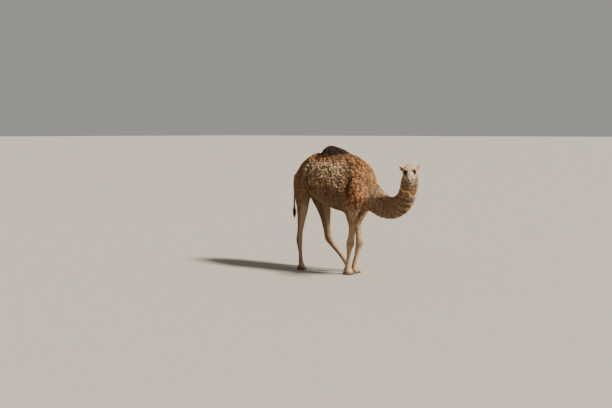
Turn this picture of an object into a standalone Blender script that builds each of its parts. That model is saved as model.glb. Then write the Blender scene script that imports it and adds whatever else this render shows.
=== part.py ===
"""A dromedary camel standing on its four pads, life size, as a still museum model.

Blender 4.5: blender --background --python part.py
Units are metres, +X is the way the body faces, +Y its left side and +Z up, with the soles at z = 0.

The whole animal is first one closed form, out to the tips of its coat: every limb is a
loft of oval sections along a smooth line, and a voxel remesh joins the lofts. That form is
then cut along thin gaps into the parts that a person would name, and eyes, ears, toenails
and the collar sit in sockets cut for them.
"""

import math

import bmesh
import bpy
import numpy as np
from mathutils import Matrix, Vector

# ---- driving sizes ---------------------------------------------------------------------
GAP = 0.0004             # between neighbouring pieces
VOXEL = 0.0095           # cell of the joining remesh
SMOOTHING = 70           # steps of smoothing on the trunk
LIMB_SOFTNESS = 0.04     # how much of it the limbs and the head take
LEG_TOPS = (0.95, 1.10)  # heights between which the legs' share rises to the trunk's
NECK_ROOT = (0.85, 1.05)             # how far forward it falls again for the neck
TAIL_ROOT = (-0.82, -0.80)           # how far back it falls for the tail
BODY_TRIANGLES = 3500    # of the joined form, before it is cut
EYE_RADIUS = 0.0215
SMALLEST_BODY = 1e-7     # crumbs under this volume are left out
SOLE_DEPTH = 0.03        # how far the feet run below the floor before their soles are cut flat
TOE_SPLAY = 0.42         # how far each toe's middle is from the foot's, as a share of its half width
FLOOR_REACH = 1.5        # half the side of the block that cuts the soles flat
SHARPEST = math.radians(40.0)        # edges over this angle stay sharp

# A section of a loft is: centre x, y, z, then how far it reaches up, down and to each side
# of its line, and how pointed its upper and lower halves are (1 is an ellipse). On a leg,
# whose line runs down, "up" is forwards and "down" is backwards.

# The trunk runs from the seat bones to the breast. The hump's fat makes its back an arch.
TRUNK = (
    # x      y    z     up     down   side   peak  keel
    (-0.790, 0.0, 1.44, 0.100, 0.060, 0.050, 1.00, 1.00),
    (-0.765, 0.0, 1.44, 0.190, 0.120, 0.100, 1.10, 1.00),
    (-0.700, 0.0, 1.44, 0.290, 0.190, 0.145, 1.30, 1.00),
    (-0.600, 0.0, 1.44, 0.400, 0.190, 0.215, 1.50, 1.00),
    (-0.450, 0.0, 1.44, 0.490, 0.150, 0.278, 1.55, 1.00),
    (-0.350, 0.0, 1.44, 0.522, 0.205, 0.310, 1.50, 1.00),
    (-0.200, 0.0, 1.44, 0.535, 0.295, 0.345, 1.50, 0.95),
    (0.000, 0.0, 1.44, 0.545, 0.368, 0.370, 1.50, 0.95),
    (0.120, 0.0, 1.44, 0.550, 0.410, 0.370, 1.50, 0.95),
    (0.260, 0.0, 1.44, 0.548, 0.435, 0.352, 1.50, 0.95),
    (0.420, 0.0, 1.44, 0.512, 0.445, 0.312, 1.60, 1.00),
    (0.580, 0.0, 1.44, 0.455, 0.410, 0.250, 1.70, 1.00),
    (0.700, 0.0, 1.44, 0.385, 0.375, 0.195, 1.70, 1.00),
    (0.790, 0.0, 1.44, 0.285, 0.320, 0.135, 1.50, 1.00),
    (0.850, 0.0, 1.44, 0.150, 0.200, 0.080, 1.00, 1.00),
)
# The hump's cap leans back, so its rear face is the steep one.
HUMP = (
    (-0.270, 0.0, 1.86, 0.07, 0.08, 0.05, 1.0, 1.0),
    (-0.200, 0.0, 1.86, 0.12, 0.10, 0.12, 1.2, 1.0),
    (-0.140, 0.0, 1.86, 0.205, 0.10, 0.15, 1.35, 1.0),
    (-0.060, 0.0, 1.86, 0.243, 0.10, 0.16, 1.4, 1.0),
    (0.060, 0.0, 1.86, 0.222, 0.10, 0.16, 1.4, 1.0),
    (0.180, 0.0, 1.86, 0.178, 0.10, 0.14, 1.3, 1.0),
    (0.300, 0.0, 1.86, 0.130, 0.10, 0.11, 1.1, 1.0),
    (0.420, 0.0, 1.86, 0.060, 0.08, 0.05, 1.0, 1.0),
)
# The neck leaves the breast low, swings through a U and rises to the poll, turning right.
NECK = (
    (0.560, 0.000, 1.430, 0.240, 0.300, 0.180, 1.3, 1.0),
    (0.740, 0.000, 1.330, 0.220, 0.270, 0.175, 1.2, 1.0),
    (0.900, 0.000, 1.215, 0.200, 0.215, 0.160, 1.1, 1.0),
    (1.040, 0.000, 1.150, 0.185, 0.195, 0.145, 1.0, 1.0),
    (1.180, 0.005, 1.135, 0.165, 0.185, 0.138, 1.0, 1.0),
    (1.320, 0.005, 1.190, 0.150, 0.170, 0.133, 1.0, 1.0),
    (1.430, -0.005, 1.300, 0.140, 0.160, 0.130, 1.0, 1.0),
    (1.490, -0.030, 1.430, 0.135, 0.150, 0.130, 1.0, 1.0),
    (1.531, -0.051, 1.560, 0.125, 0.145, 0.131, 1.0, 1.0),
    (1.556, -0.076, 1.680, 0.090, 0.115, 0.106, 1.0, 1.0),
)
# The head, along its own line from the nape to the lips: distance, height of the line,
# then reaches as above. HEAD_ORIGIN sets it on the neck.
HEAD = (
    (-0.030, 0.000, 0.055, 0.070, 0.068, 1.00, 1.00),
    (0.000, 0.000, 0.088, 0.095, 0.094, 1.00, 1.00),
    (0.055, 0.000, 0.113, 0.115, 0.108, 1.00, 1.00),
    (0.110, 0.000, 0.114, 0.125, 0.113, 0.90, 1.10),
    (0.170, 0.000, 0.095, 0.118, 0.091, 0.85, 1.15),
    (0.225, 0.000, 0.068, 0.098, 0.069, 0.90, 1.10),
    (0.300, 0.000, 0.052, 0.084, 0.055, 0.90, 1.00),
    (0.380, 0.000, 0.046, 0.076, 0.052, 0.85, 0.95),
    (0.435, 0.000, 0.038, 0.070, 0.056, 0.80, 0.90),
    (0.473, 0.000, 0.020, 0.060, 0.048, 0.90, 0.90),
    (0.498, 0.000, 0.000, 0.036, 0.028, 1.00, 1.00),
)
# The lower jaw and its hanging lip.
JAW = (
    (0.050, -0.055, 0.040, 0.050, 0.060, 1.0, 1.0),
    (0.130, -0.078, 0.050, 0.062, 0.078, 1.0, 1.1),
    (0.230, -0.070, 0.040, 0.042, 0.055, 1.0, 1.1),
    (0.340, -0.058, 0.030, 0.034, 0.044, 1.0, 1.0),
    (0.420, -0.054, 0.026, 0.034, 0.043, 1.0, 1.0),
    (0.456, -0.057, 0.024, 0.033, 0.038, 1.0, 1.0),
    (0.480, -0.062, 0.014, 0.020, 0.024, 1.0, 1.0),
)
# Where the head's line starts and how it is turned.
HEAD_ORIGIN = Vector((1.540, -0.068, 1.732))
HEAD_TURN = math.radians(-55.0)      # from +X towards the right side
HEAD_DROP = math.radians(17.0)       # nose below the level
HEAD_ROLL = math.radians(5.0)        # left eye above the right one

# Legs, from inside the trunk down. Right is -Y.
FORELEG_RIGHT = (
    (0.450, -0.090, 1.640, 0.110, 0.150, 0.070, 1.0, 1.0),
    (0.560, -0.160, 1.480, 0.180, 0.210, 0.110, 1.0, 1.0),
    (0.620, -0.198, 1.320, 0.195, 0.225, 0.120, 1.0, 1.0),
    (0.598, -0.205, 1.190, 0.160, 0.215, 0.112, 1.0, 1.0),
    (0.560, -0.198, 1.070, 0.115, 0.190, 0.092, 1.0, 1.0),
    (0.540, -0.180, 0.930, 0.078, 0.122, 0.066, 1.0, 1.0),
    (0.520, -0.155, 0.780, 0.060, 0.068, 0.052, 1.0, 1.0),
    (0.475, -0.125, 0.620, 0.060, 0.056, 0.054, 1.0, 1.0),
    (0.443, -0.112, 0.515, 0.075, 0.064, 0.066, 1.0, 1.0),
    (0.422, -0.105, 0.420, 0.054, 0.052, 0.050, 1.0, 1.0),
    (0.405, -0.100, 0.290, 0.041, 0.043, 0.037, 1.0, 1.0),
    (0.392, -0.100, 0.160, 0.045, 0.048, 0.042, 1.0, 1.0),
    (0.395, -0.100, 0.100, 0.055, 0.055, 0.052, 1.0, 1.0),
)
FORELEG_LEFT = (
    (0.440, 0.090, 1.640, 0.110, 0.150, 0.070, 1.0, 1.0),
    (0.540, 0.160, 1.480, 0.180, 0.210, 0.110, 1.0, 1.0),
    (0.590, 0.195, 1.320, 0.200, 0.220, 0.120, 1.0, 1.0),
    (0.550, 0.195, 1.190, 0.160, 0.205, 0.112, 1.0, 1.0),
    (0.485, 0.178, 1.070, 0.115, 0.170, 0.092, 1.0, 1.0),
    (0.430, 0.152, 0.910, 0.078, 0.100, 0.066, 1.0, 1.0),
    (0.415, 0.135, 0.780, 0.058, 0.062, 0.052, 1.0, 1.0),
    (0.450, 0.115, 0.620, 0.060, 0.056, 0.054, 1.0, 1.0),
    (0.475, 0.100, 0.515, 0.075, 0.062, 0.066, 1.0, 1.0),
    (0.450, 0.095, 0.420, 0.054, 0.052, 0.050, 1.0, 1.0),
    (0.420, 0.090, 0.290, 0.041, 0.043, 0.037, 1.0, 1.0),
    (0.390, 0.085, 0.160, 0.045, 0.048, 0.042, 1.0, 1.0),
    (0.388, 0.085, 0.100, 0.055, 0.055, 0.052, 1.0, 1.0),
)
HINDLEG_RIGHT = (
    (-0.450, -0.110, 1.640, 0.150, 0.160, 0.070, 1.0, 1.0),
    (-0.505, -0.135, 1.500, 0.200, 0.195, 0.105, 1.0, 1.0),
    (-0.505, -0.165, 1.350, 0.185, 0.172, 0.112, 1.0, 1.0),
    (-0.500, -0.186, 1.200, 0.152, 0.152, 0.102, 1.0, 1.0),
    (-0.490, -0.197, 1.060, 0.120, 0.124, 0.082, 1.0, 1.0),
    (-0.510, -0.200, 0.870, 0.080, 0.080, 0.062, 1.0, 1.0),
    (-0.540, -0.200, 0.650, 0.052, 0.056, 0.047, 1.0, 1.0),
    (-0.555, -0.200, 0.500, 0.055, 0.066, 0.050, 1.0, 1.0),
    (-0.548, -0.200, 0.400, 0.043, 0.050, 0.041, 1.0, 1.0),
    (-0.535, -0.200, 0.270, 0.036, 0.038, 0.034, 1.0, 1.0),
    (-0.525, -0.200, 0.150, 0.040, 0.042, 0.038, 1.0, 1.0),
    (-0.520, -0.200, 0.090, 0.050, 0.048, 0.046, 1.0, 1.0),
)
HINDLEG_LEFT = (
    (-0.430, 0.110, 1.640, 0.150, 0.160, 0.070, 1.0, 1.0),
    (-0.490, 0.140, 1.500, 0.200, 0.215, 0.105, 1.0, 1.0),
    (-0.460, 0.165, 1.340, 0.195, 0.210, 0.115, 1.0, 1.0),
    (-0.400, 0.178, 1.190, 0.175, 0.185, 0.104, 1.0, 1.0),
    (-0.335, 0.182, 1.050, 0.140, 0.160, 0.084, 1.0, 1.0),
    (-0.290, 0.182, 0.870, 0.090, 0.118, 0.062, 1.0, 1.0),
    (-0.255, 0.180, 0.660, 0.060, 0.084, 0.049, 1.0, 1.0),
    (-0.220, 0.176, 0.535, 0.056, 0.088, 0.050, 1.0, 1.0),
    (-0.150, 0.180, 0.445, 0.046, 0.072, 0.043, 1.0, 1.0),
    (-0.020, 0.190, 0.310, 0.038, 0.054, 0.036, 1.0, 1.0),
    (0.100, 0.196, 0.185, 0.040, 0.050, 0.038, 1.0, 1.0),
    (0.155, 0.200, 0.110, 0.048, 0.050, 0.046, 1.0, 1.0),
)
TAIL = (
    (-0.720, 0.000, 1.600, 0.050, 0.050, 0.050, 1.0, 1.0),
    (-0.788, 0.000, 1.582, 0.036, 0.036, 0.040, 1.0, 1.0),
    (-0.828, -0.001, 1.500, 0.025, 0.025, 0.032, 1.0, 1.0),
    (-0.835, -0.004, 1.360, 0.020, 0.020, 0.026, 1.0, 1.0),
    (-0.829, -0.011, 1.190, 0.018, 0.018, 0.020, 1.0, 1.0),
    (-0.824, -0.018, 1.060, 0.021, 0.021, 0.023, 1.0, 1.0),
    (-0.821, -0.022, 0.980, 0.030, 0.030, 0.031, 1.0, 1.0),
    (-0.818, -0.024, 0.910, 0.024, 0.024, 0.025, 1.0, 1.0),
    (-0.816, -0.026, 0.865, 0.010, 0.010, 0.010, 1.0, 1.0),
)
LEGS = {
    "foreleg_right": FORELEG_RIGHT,
    "foreleg_left": FORELEG_LEFT,
    "hindleg_right": HINDLEG_RIGHT,
    "hindleg_left": HINDLEG_LEFT,
}
# Feet: name, where the pad's middle is, half length, half width and how high its instep is.
FEET = {
    "front_right": ((0.405, -0.100), 0.094, 0.076, 0.062),
    "front_left": ((0.398, 0.085), 0.094, 0.076, 0.062),
    "hind_right": ((-0.505, -0.200), 0.084, 0.066, 0.056),
    "hind_left": ((0.180, 0.202), 0.084, 0.066, 0.056),
}
# The horny pad of the breastbone: its middle, then its reach along, to each side and up.
CHEST_PAD = ((0.360, 0.0, 1.010), (0.120, 0.085, 0.065))

# Places on the head: along, to its left and up from the head's line.
EYE = (0.190, 0.068, 0.032)
BROW = (0.164, 0.066, 0.067)
BROW_REACH = (0.050, 0.028, 0.017)
# Ears: the root on the head, the way the ear points and its length.
EARS = {
    "ear_left": ((0.048, 0.092, -0.008), (-0.58, 0.54, 0.60), 0.102),
    "ear_right": ((0.048, -0.092, -0.002), (-0.58, -0.58, 0.57), 0.100),
}
EAR_ROWS = (
    # share of the length, half width, half thickness
    (0.00, 0.014, 0.0100),
    (0.14, 0.017, 0.0085),
    (0.36, 0.025, 0.0065),
    (0.60, 0.027, 0.0055),
    (0.82, 0.018, 0.0045),
    (1.00, 0.004, 0.0025),
)
EAR_FACING = Vector((1.0, 0.0, 0.25))    # the way in which both ears are open
NAIL_REACH = (0.024, 0.020, 0.012)   # forwards, to each side and up
NAIL_HEIGHT = 0.021
NAIL_DEPTH = 0.018                   # of its middle behind the toe's front

# The collar lies round the upper neck, lower at the throat, where its knot hangs.
COLLAR_PLACE = Vector((1.497, -0.035, 1.426))
COLLAR_AXIS = Vector((0.52, -0.22, 0.82))
COLLAR_REACH = (0.154, 0.137)      # fore and aft, then sideways, just past the coat
COLLAR_WIDTH = 0.026
COLLAR_THICKNESS = 0.016
KNOT_BEARING = math.radians(-27.0)
KNOT_REACH = (0.019, 0.019, 0.032)
# The slack strap sags to its knot and rides up beside it.
KNOT_DROP = 0.052
KNOT_SWELL = 0.11                  # how much farther out it lies there, as a share
KNOT_SPREAD = math.radians(17.0)
RISE = 0.036
RISE_BEARING = math.radians(-66.0)
RISE_SPREAD = math.radians(24.0)
STRAP_CORNERS = 34

# Where the thin cuts lie and which way they face.
HUMP_CUT = ((0.06, 0.0, 1.905), (0.0, 0.0, 1.0), 0.75)
NECK_CUTS = {
    "head": ((1.535, -0.065, 1.618), (0.50, -0.42, 0.76), 0.22),
    "neck_upper": ((1.395, 0.000, 1.250), (0.62, -0.03, 0.78), 0.26),
    "neck_middle": ((1.150, 0.004, 1.135), (1.0, 0.0, 0.06), 0.30),
    "neck_lower": ((0.850, 0.0, 1.250), (0.82, 0.0, -0.57), 0.50),
}
TAIL_CUT = ((-0.836, -0.003, 1.390), (0.0, 0.0, -1.0), 0.036)
TAIL_TUFT_CUT = ((-0.825, -0.017, 1.085), (0.0, 0.0, -1.0), 0.05)
LEG_CUTS = {
    # each leg's cuts from the top down: the plate's middle, then half its side
    "foreleg_right": (
        ((0.530, -0.190, 0.965), 0.170),
        ((0.443, -0.115, 0.515), 0.100),
        ((0.395, -0.100, 0.120), 0.080),
    ),
    "foreleg_left": (
        ((0.430, 0.170, 0.965), 0.165),
        ((0.470, 0.100, 0.515), 0.100),
        ((0.390, 0.085, 0.120), 0.080),
    ),
    "hindleg_right": (
        ((-0.495, -0.200, 1.000), 0.175),
        ((-0.557, -0.200, 0.500), 0.100),
        ((-0.522, -0.200, 0.112), 0.080),
    ),
    "hindleg_left": (
        ((-0.330, 0.182, 1.000), 0.170),
        ((-0.205, 0.178, 0.505), 0.120),
        ((0.152, 0.200, 0.118), 0.080),
    ),
}
LEG_PARTS = ("upper", "cannon", "foot")

COLOURS = {
    # sRGB of the coat on each part; the limbs pale towards the ground
    "trunk": "#9C6F4D",
    "hump": "#33211A",
    "neck": "#8A6A52",
    "head": "#C9AE90",
    "ear": "#B98F68",
    "eye": "#1A120E",
    "tail": "#5B4130",
    "upper": "#A98B6C",
    "cannon": "#C7AE8F",
    "foot": "#B79E80",
    "nail": "#3A3029",
    "collar": "#D9C21C",
    "knot": "#6B3A86",
}
COAT_ROUGHNESS = 0.90
ROUGHNESS = {"eye": 0.08, "nail": 0.45, "collar": 0.70, "knot": 0.75}   # the rest are coat


# ---- shapes ----------------------------------------------------------------------------
def smooth_rows(rows, steps):
    """The rows with steps - 1 more between each two, on Catmull-Rom curves through them."""
    rows = np.array(rows, float)
    padded = np.vstack([2 * rows[0] - rows[1], rows, 2 * rows[-1] - rows[-2]])
    out = []
    for a, b, c, d in zip(padded, padded[1:], padded[2:], padded[3:]):
        for step in range(steps):
            t = step / steps
            out.append(
                0.5
                * (
                    2 * b
                    + (c - a) * t
                    + (2 * a - 5 * b + 4 * c - d) * t**2
                    + (3 * b - a - 3 * c + d) * t**3
                )
            )
    out.append(rows[-1])
    return np.array(out)


def oval(up, down, side, peak, keel, corners):
    """Points (sideways, upwards) of an oval with its own reach and pointedness above and below."""
    points = []
    for k in range(corners):
        angle = math.tau * k / corners
        c, s = math.cos(angle), math.sin(angle)
        power = peak if s >= 0 else keel
        across = side * math.copysign(abs(c) ** power, c)
        points.append((across, (up if s >= 0 else down) * s))
    return points


def loft(name, rows, side_of=lambda share: Vector((0, 1, 0)), steps=4, corners=28):
    """A closed tube through oval sections. side_of(share) is its sideways direction."""
    rows = smooth_rows(rows, steps)
    centres = [Vector(row[:3]) for row in rows]
    bm = bmesh.new()
    rings = []
    for k, row in enumerate(rows):
        ahead = centres[min(k + 1, len(rows) - 1)] - centres[max(k - 1, 0)]
        ahead.normalize()
        side = side_of(k / (len(rows) - 1))
        side = (side - side.dot(ahead) * ahead).normalized()
        up = ahead.cross(side)
        rings.append(
            [
                bm.verts.new(centres[k] + side * across + up * rise)
                for across, rise in oval(*row[3:], corners)
            ]
        )
    for low, high in zip(rings, rings[1:]):
        for k in range(corners):
            j = (k + 1) % corners
            bm.faces.new((low[k], low[j], high[j], high[k]))
    bm.faces.new(rings[0])
    bm.faces.new(rings[-1])
    bmesh.ops.recalc_face_normals(bm, faces=bm.faces)
    return new_object(name, bm)


def new_object(name, bm):
    mesh = bpy.data.meshes.new(name)
    bm.to_mesh(mesh)
    bm.free()
    obj = bpy.data.objects.new(name, mesh)
    PARTS.objects.link(obj)
    return obj


def head_matrix():
    turn = Matrix.Rotation(HEAD_TURN, 4, "Z") @ Matrix.Rotation(HEAD_DROP, 4, "Y")
    turn = turn @ Matrix.Rotation(HEAD_ROLL, 4, "X")
    return Matrix.Translation(HEAD_ORIGIN) @ turn


def head_lofts():
    """Skull and muzzle, jaw and the two brows, set on the neck."""
    made = []
    for name, rows in (("skull", HEAD), ("jaw", JAW)):
        rows = [(along, 0.0, *rest) for along, *rest in rows]
        made.append(loft(name, rows))
    for side in (1, -1):
        brow = (BROW[0], BROW[1] * side, BROW[2])
        made.append(ball("brow", brow, BROW_REACH))
    for obj in made:
        obj.data.transform(head_matrix())
    return made


def ball(name, place, reach, cuts=(14, 9)):
    bm = bmesh.new()
    bmesh.ops.create_uvsphere(bm, u_segments=cuts[0], v_segments=cuts[1], radius=1.0)
    bmesh.ops.scale(bm, vec=reach, verts=bm.verts)
    bmesh.ops.translate(bm, vec=place, verts=bm.verts)
    return new_object(name, bm)


def foot(name, place, half_length, half_width, instep):
    """One foot: two toes side by side on one broad pad, domed towards the pastern."""
    x, y = place
    made = []
    for side in (1, -1):
        out = side * half_width * TOE_SPLAY
        wide = half_width * (1 - TOE_SPLAY)
        rows = [
            # height, share of the toe's length, then of its width
            (-SOLE_DEPTH, 1.00, 1.00),
            (0.018, 1.00, 1.00),
            (0.040, 0.92, 0.92),
            (0.042 + instep * 0.55, 0.66, 0.80),
            (0.050 + instep, 0.45, 0.66),
        ]
        front, back = half_length * 1.02, half_length * 0.90
        made.append(loft("toe_" + name, [
            (x, y + out * min(1.0, across), height, front * along, back * along, wide * across, 0.85, 1.0)
            for height, along, across in rows
        ]))
    return made


def neck_side(share):
    """The neck's sideways direction turns with the head in its upper third."""
    turn = HEAD_TURN * max(0.0, (share - 0.55) / 0.45)
    return Vector((-math.sin(turn), math.cos(turn), 0))


def body_lofts():
    made = [
        loft("trunk", TRUNK),
        loft("hump", HUMP),
        loft("neck", NECK, neck_side),
        loft("tail", TAIL),
    ]
    made += [loft(name, rows) for name, rows in LEGS.items()]
    made.append(ball("chest_pad", *CHEST_PAD))
    for name, sizes in FEET.items():
        made += foot(name, *sizes)
    return made + head_lofts()


# ---- joining and cutting ---------------------------------------------------------------
def evaluated_mesh(obj):
    """The object's mesh with its modifiers applied."""
    bpy.context.view_layer.update()
    graph = bpy.context.evaluated_depsgraph_get()
    return bpy.data.meshes.new_from_object(obj.evaluated_get(graph))


def apply_modifiers(obj):
    mesh = evaluated_mesh(obj)
    obj.modifiers.clear()
    obj.data = mesh
    return obj


def join(objects, name):
    """One object that holds all their faces."""
    bm = bmesh.new()
    for obj in objects:
        bm.from_mesh(obj.data)
        bpy.data.objects.remove(obj)
    return new_object(name, bm)


def smoothstep(low, high, value):
    """0 at low, 1 at high, and a smooth rise between them."""
    t = min(1.0, max(0.0, (value - low) / (high - low)))
    return t * t * (3 - 2 * t)


def softness(point):
    """How much the joined form is smoothed at a point: fully on the trunk, little elsewhere."""
    x, _, z = point
    above_legs = smoothstep(*LEG_TOPS, z)
    behind_neck = 1 - smoothstep(*NECK_ROOT, x)
    before_tail = smoothstep(*TAIL_ROOT, x)
    return LIMB_SOFTNESS + (1 - LIMB_SOFTNESS) * above_legs * behind_neck * before_tail


def whole_form():
    """The lofts joined into one closed, smoothed form of about BODY_TRIANGLES triangles."""
    form = join(body_lofts(), "form")
    remesh = form.modifiers.new("join", "REMESH")
    remesh.mode = "VOXEL"
    remesh.voxel_size = VOXEL
    apply_modifiers(form)
    soft = form.vertex_groups.new(name="soft")
    for vertex in form.data.vertices:
        soft.add([vertex.index], softness(vertex.co), "REPLACE")
    smooth = form.modifiers.new("smooth", "SMOOTH")
    smooth.factor = 0.5
    smooth.iterations = SMOOTHING
    smooth.vertex_group = "soft"
    thin = form.modifiers.new("thin", "DECIMATE")
    thin.ratio = BODY_TRIANGLES / (2 * len(form.data.polygons))
    return apply_modifiers(form)


def box_below(height, half):
    """A cutter that takes all below a height."""
    bm = bmesh.new()
    bmesh.ops.create_cube(bm, size=2 * half)
    bmesh.ops.translate(bm, vec=(0, 0, height - half), verts=bm.verts)
    return cutter(new_object("below_floor", bm))


def slab(place, facing, half):
    """A square plate as thin as the gap, facing the given way."""
    bm = bmesh.new()
    bmesh.ops.create_cube(bm, size=1.0)
    bmesh.ops.scale(bm, vec=(2 * half, 2 * half, GAP), verts=bm.verts)
    turn = Vector(facing).to_track_quat("Z", "Y").to_matrix().to_4x4()
    bmesh.ops.transform(bm, matrix=Matrix.Translation(place) @ turn, verts=bm.verts)
    return cutter(new_object("slab", bm))


def cutter(obj):
    """Makes obj a cutter: in its own collection, drawn as wire and not rendered."""
    PARTS.objects.unlink(obj)
    CUTTERS.objects.link(obj)
    obj.name = "cutter_" + obj.name
    obj.hide_render = True
    obj.display_type = "WIRE"
    return obj


def combine(obj, other, operation):
    """obj after a Boolean with other."""
    modifier = obj.modifiers.new("cut", "BOOLEAN")
    modifier.operation = operation
    modifier.solver = "EXACT"
    modifier.object = other
    return apply_modifiers(obj)


def bodies_of(obj):
    """The object's separate closed bodies as new objects; crumbs are dropped."""
    bm = bmesh.new()
    bm.from_mesh(obj.data)
    left = set(bm.verts)
    groups = []
    while left:
        edge = [left.pop()]
        group = []
        while edge:
            vertex = edge.pop()
            group.append(vertex)
            for link in vertex.link_edges:
                other = link.other_vert(vertex)
                if other in left:
                    left.remove(other)
                    edge.append(other)
        groups.append({vertex.index for vertex in group})
    bodies = []
    for group in groups:
        body = bm.copy()
        away = [vertex for vertex in body.verts if vertex.index not in group]
        bmesh.ops.delete(body, geom=away, context="VERTS")
        if body.calc_volume() > SMALLEST_BODY:
            bodies.append(new_object(obj.name, body))
        else:
            body.free()
    bm.free()
    bpy.data.objects.remove(obj)
    return bodies


def part_off(obj, name, place, facing, half):
    """Cuts obj in two with a thin plate. The body on the side that it faces takes the name."""
    kept_name = obj.name
    bodies = bodies_of(combine(obj, slab(place, facing, half), "DIFFERENCE"))
    if len(bodies) != 2:
        raise ValueError(f"{name}: the cut left {len(bodies)} bodies")
    place, facing = Vector(place), Vector(facing)
    bodies.sort(key=lambda body: nearest(body, place, facing))
    rest, part = bodies
    rest.name = rest.data.name = kept_name
    part.name = part.data.name = name
    return rest, part


def nearest(body, place, facing):
    """How far ahead of a plane a body's hindmost point is."""
    return min((vertex.co - place).dot(facing) for vertex in body.data.vertices)


# ---- small parts -----------------------------------------------------------------------
def eye(side):
    obj = ball("eye", (EYE[0], EYE[1] * side, EYE[2]), [EYE_RADIUS] * 3, (12, 8))
    obj.data.transform(head_matrix())
    return obj


def ear(name):
    """A leaf-shaped ear along its own line, flat side forwards."""
    root, way, length = EARS[name]
    root, way = Vector(root), Vector(way).normalized()
    rows = [
        (*(root + way * (length * share)), thick, thick, wide, 1.0, 1.0)
        for share, wide, thick in EAR_ROWS
    ]
    obj = loft(name, rows, lambda share: way.cross(EAR_FACING), steps=1, corners=10)
    obj.data.transform(head_matrix())
    return obj


def nail(foot_name, side):
    """One toe's nail, set in the front of the toe."""
    (x, y), half_length, half_width, _ = FEET[foot_name]
    place = (x + half_length - NAIL_DEPTH, y + side * half_width * TOE_SPLAY, NAIL_HEIGHT)
    return ball("nail", place, NAIL_REACH, (8, 5))


def collar_matrix():
    """Places a flat ring round the neck: its X points to the throat, its Z along the axis."""
    up = COLLAR_AXIS.normalized()
    across = up.cross(Vector((1, 0, 0))).normalized()
    ahead = across.cross(up)
    turn = Matrix((ahead, across, up)).transposed().to_4x4()
    return Matrix.Translation(COLLAR_PLACE) @ turn


def bell(bearing, middle, spread):
    """1 at the middle bearing, falling to nothing about two spreads away."""
    gap = (bearing - middle + math.pi) % math.tau - math.pi
    return math.exp(-((gap / spread) ** 2))


def strap_place(bearing):
    """Where the collar's outer face runs at a bearing round its axis."""
    at_knot = bell(bearing, KNOT_BEARING, KNOT_SPREAD)
    swell = 1 + KNOT_SWELL * at_knot
    lift = RISE * bell(bearing, RISE_BEARING, RISE_SPREAD) - KNOT_DROP * at_knot
    x = COLLAR_REACH[0] * swell * math.cos(bearing)
    y = COLLAR_REACH[1] * swell * math.sin(bearing)
    return collar_matrix() @ Vector((x, y, lift))


def collar():
    """A flat strap round the neck, half sunk in the coat: a flat section carried round."""
    step = math.tau / STRAP_CORNERS
    axis = COLLAR_AXIS.normalized()
    bm = bmesh.new()
    sections = []
    for k in range(STRAP_CORNERS):
        place = strap_place(k * step)
        along = (strap_place((k + 0.5) * step) - strap_place((k - 0.5) * step)).normalized()
        away = place - COLLAR_PLACE
        out = (away - away.dot(axis) * axis).normalized()
        out = (out - out.dot(along) * along).normalized()
        half = out.cross(along) * (COLLAR_WIDTH / 2)
        inner = place - out * COLLAR_THICKNESS
        sections.append([bm.verts.new(p) for p in (place - half, place + half, inner + half, inner - half)])
    for here, there in zip(sections, sections[1:] + sections[:1]):
        for j in range(4):
            bm.faces.new((here[j], here[j - 1], there[j - 1], there[j]))
    bmesh.ops.recalc_face_normals(bm, faces=bm.faces)
    return new_object("collar", bm)


def knot():
    """The knot that closes the collar, on its right side near the throat."""
    obj = ball("knot", (0, 0, 0), KNOT_REACH, (10, 7))
    obj.data.transform(Matrix.Translation(strap_place(KNOT_BEARING)))
    return obj


def swollen(obj):
    """A cutter of the same shape, a gap larger all round."""
    bm = bmesh.new()
    bm.from_mesh(obj.data)
    bm.normal_update()
    moves = [vertex.normal * GAP * vertex.calc_shell_factor() for vertex in bm.verts]
    for vertex, move in zip(bm.verts, moves):
        vertex.co += move
    return cutter(new_object(obj.name, bm))


# ---- materials -----------------------------------------------------------------------------
def linear(hex_colour):
    """An sRGB hex colour as linear red, green, blue and alpha."""
    parts = [int(hex_colour[k:k + 2], 16) / 255 for k in (1, 3, 5)]
    return [c / 12.92 if c <= 0.04045 else ((c + 0.055) / 1.055) ** 2.4 for c in parts] + [1.0]


def paint(obj):
    """Gives obj a material of its own, by the kind of part that its name holds."""
    kind = next(kind for kind in COLOURS if kind in obj.name)
    material = bpy.data.materials.new(obj.name)
    material.use_nodes = True
    shader = material.node_tree.nodes["Principled BSDF"]
    shader.inputs["Base Color"].default_value = linear(COLOURS[kind])
    shader.inputs["Roughness"].default_value = ROUGHNESS.get(kind, COAT_ROUGHNESS)
    shader.inputs["Metallic"].default_value = 0.0
    obj.data.materials.clear()
    obj.data.materials.append(material)



# ---- the whole camel -------------------------------------------------------------------
PARTS = bpy.data.collections.new("camel")
CUTTERS = bpy.data.collections.new("cutters")


def clear_scene():
    for obj in list(bpy.data.objects):
        bpy.data.objects.remove(obj)


def rename(obj, name):
    obj.name = obj.data.name = name
    return obj


def part_neck(form):
    """Parts the neck and head off the trunk, from the trunk outwards."""
    rest = form
    for name in ("neck_lower", "neck_middle", "neck_upper", "head"):
        rest, ahead = part_off(rest, name, *NECK_CUTS[name])
        if name == "neck_lower":
            form = rest
        rest = ahead
    return form


def part_leg(form, leg):
    """Parts one leg off the trunk and divides it, from the top down."""
    rest = form
    for part, (place, half) in zip(LEG_PARTS, LEG_CUTS[leg]):
        rest, below = part_off(rest, f"{leg}_{part}", place, (0.0, 0.0, -1.0), half)
        if part == LEG_PARTS[0]:
            form = rest
        rest = below
    return form


def part_form(form):
    form, _ = part_off(form, "hump", *HUMP_CUT)
    form = part_neck(form)
    form, tail = part_off(form, "tail", *TAIL_CUT)
    part_off(tail, "tail_tuft", *TAIL_TUFT_CUT)
    for leg in LEG_CUTS:
        form = part_leg(form, leg)


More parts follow.
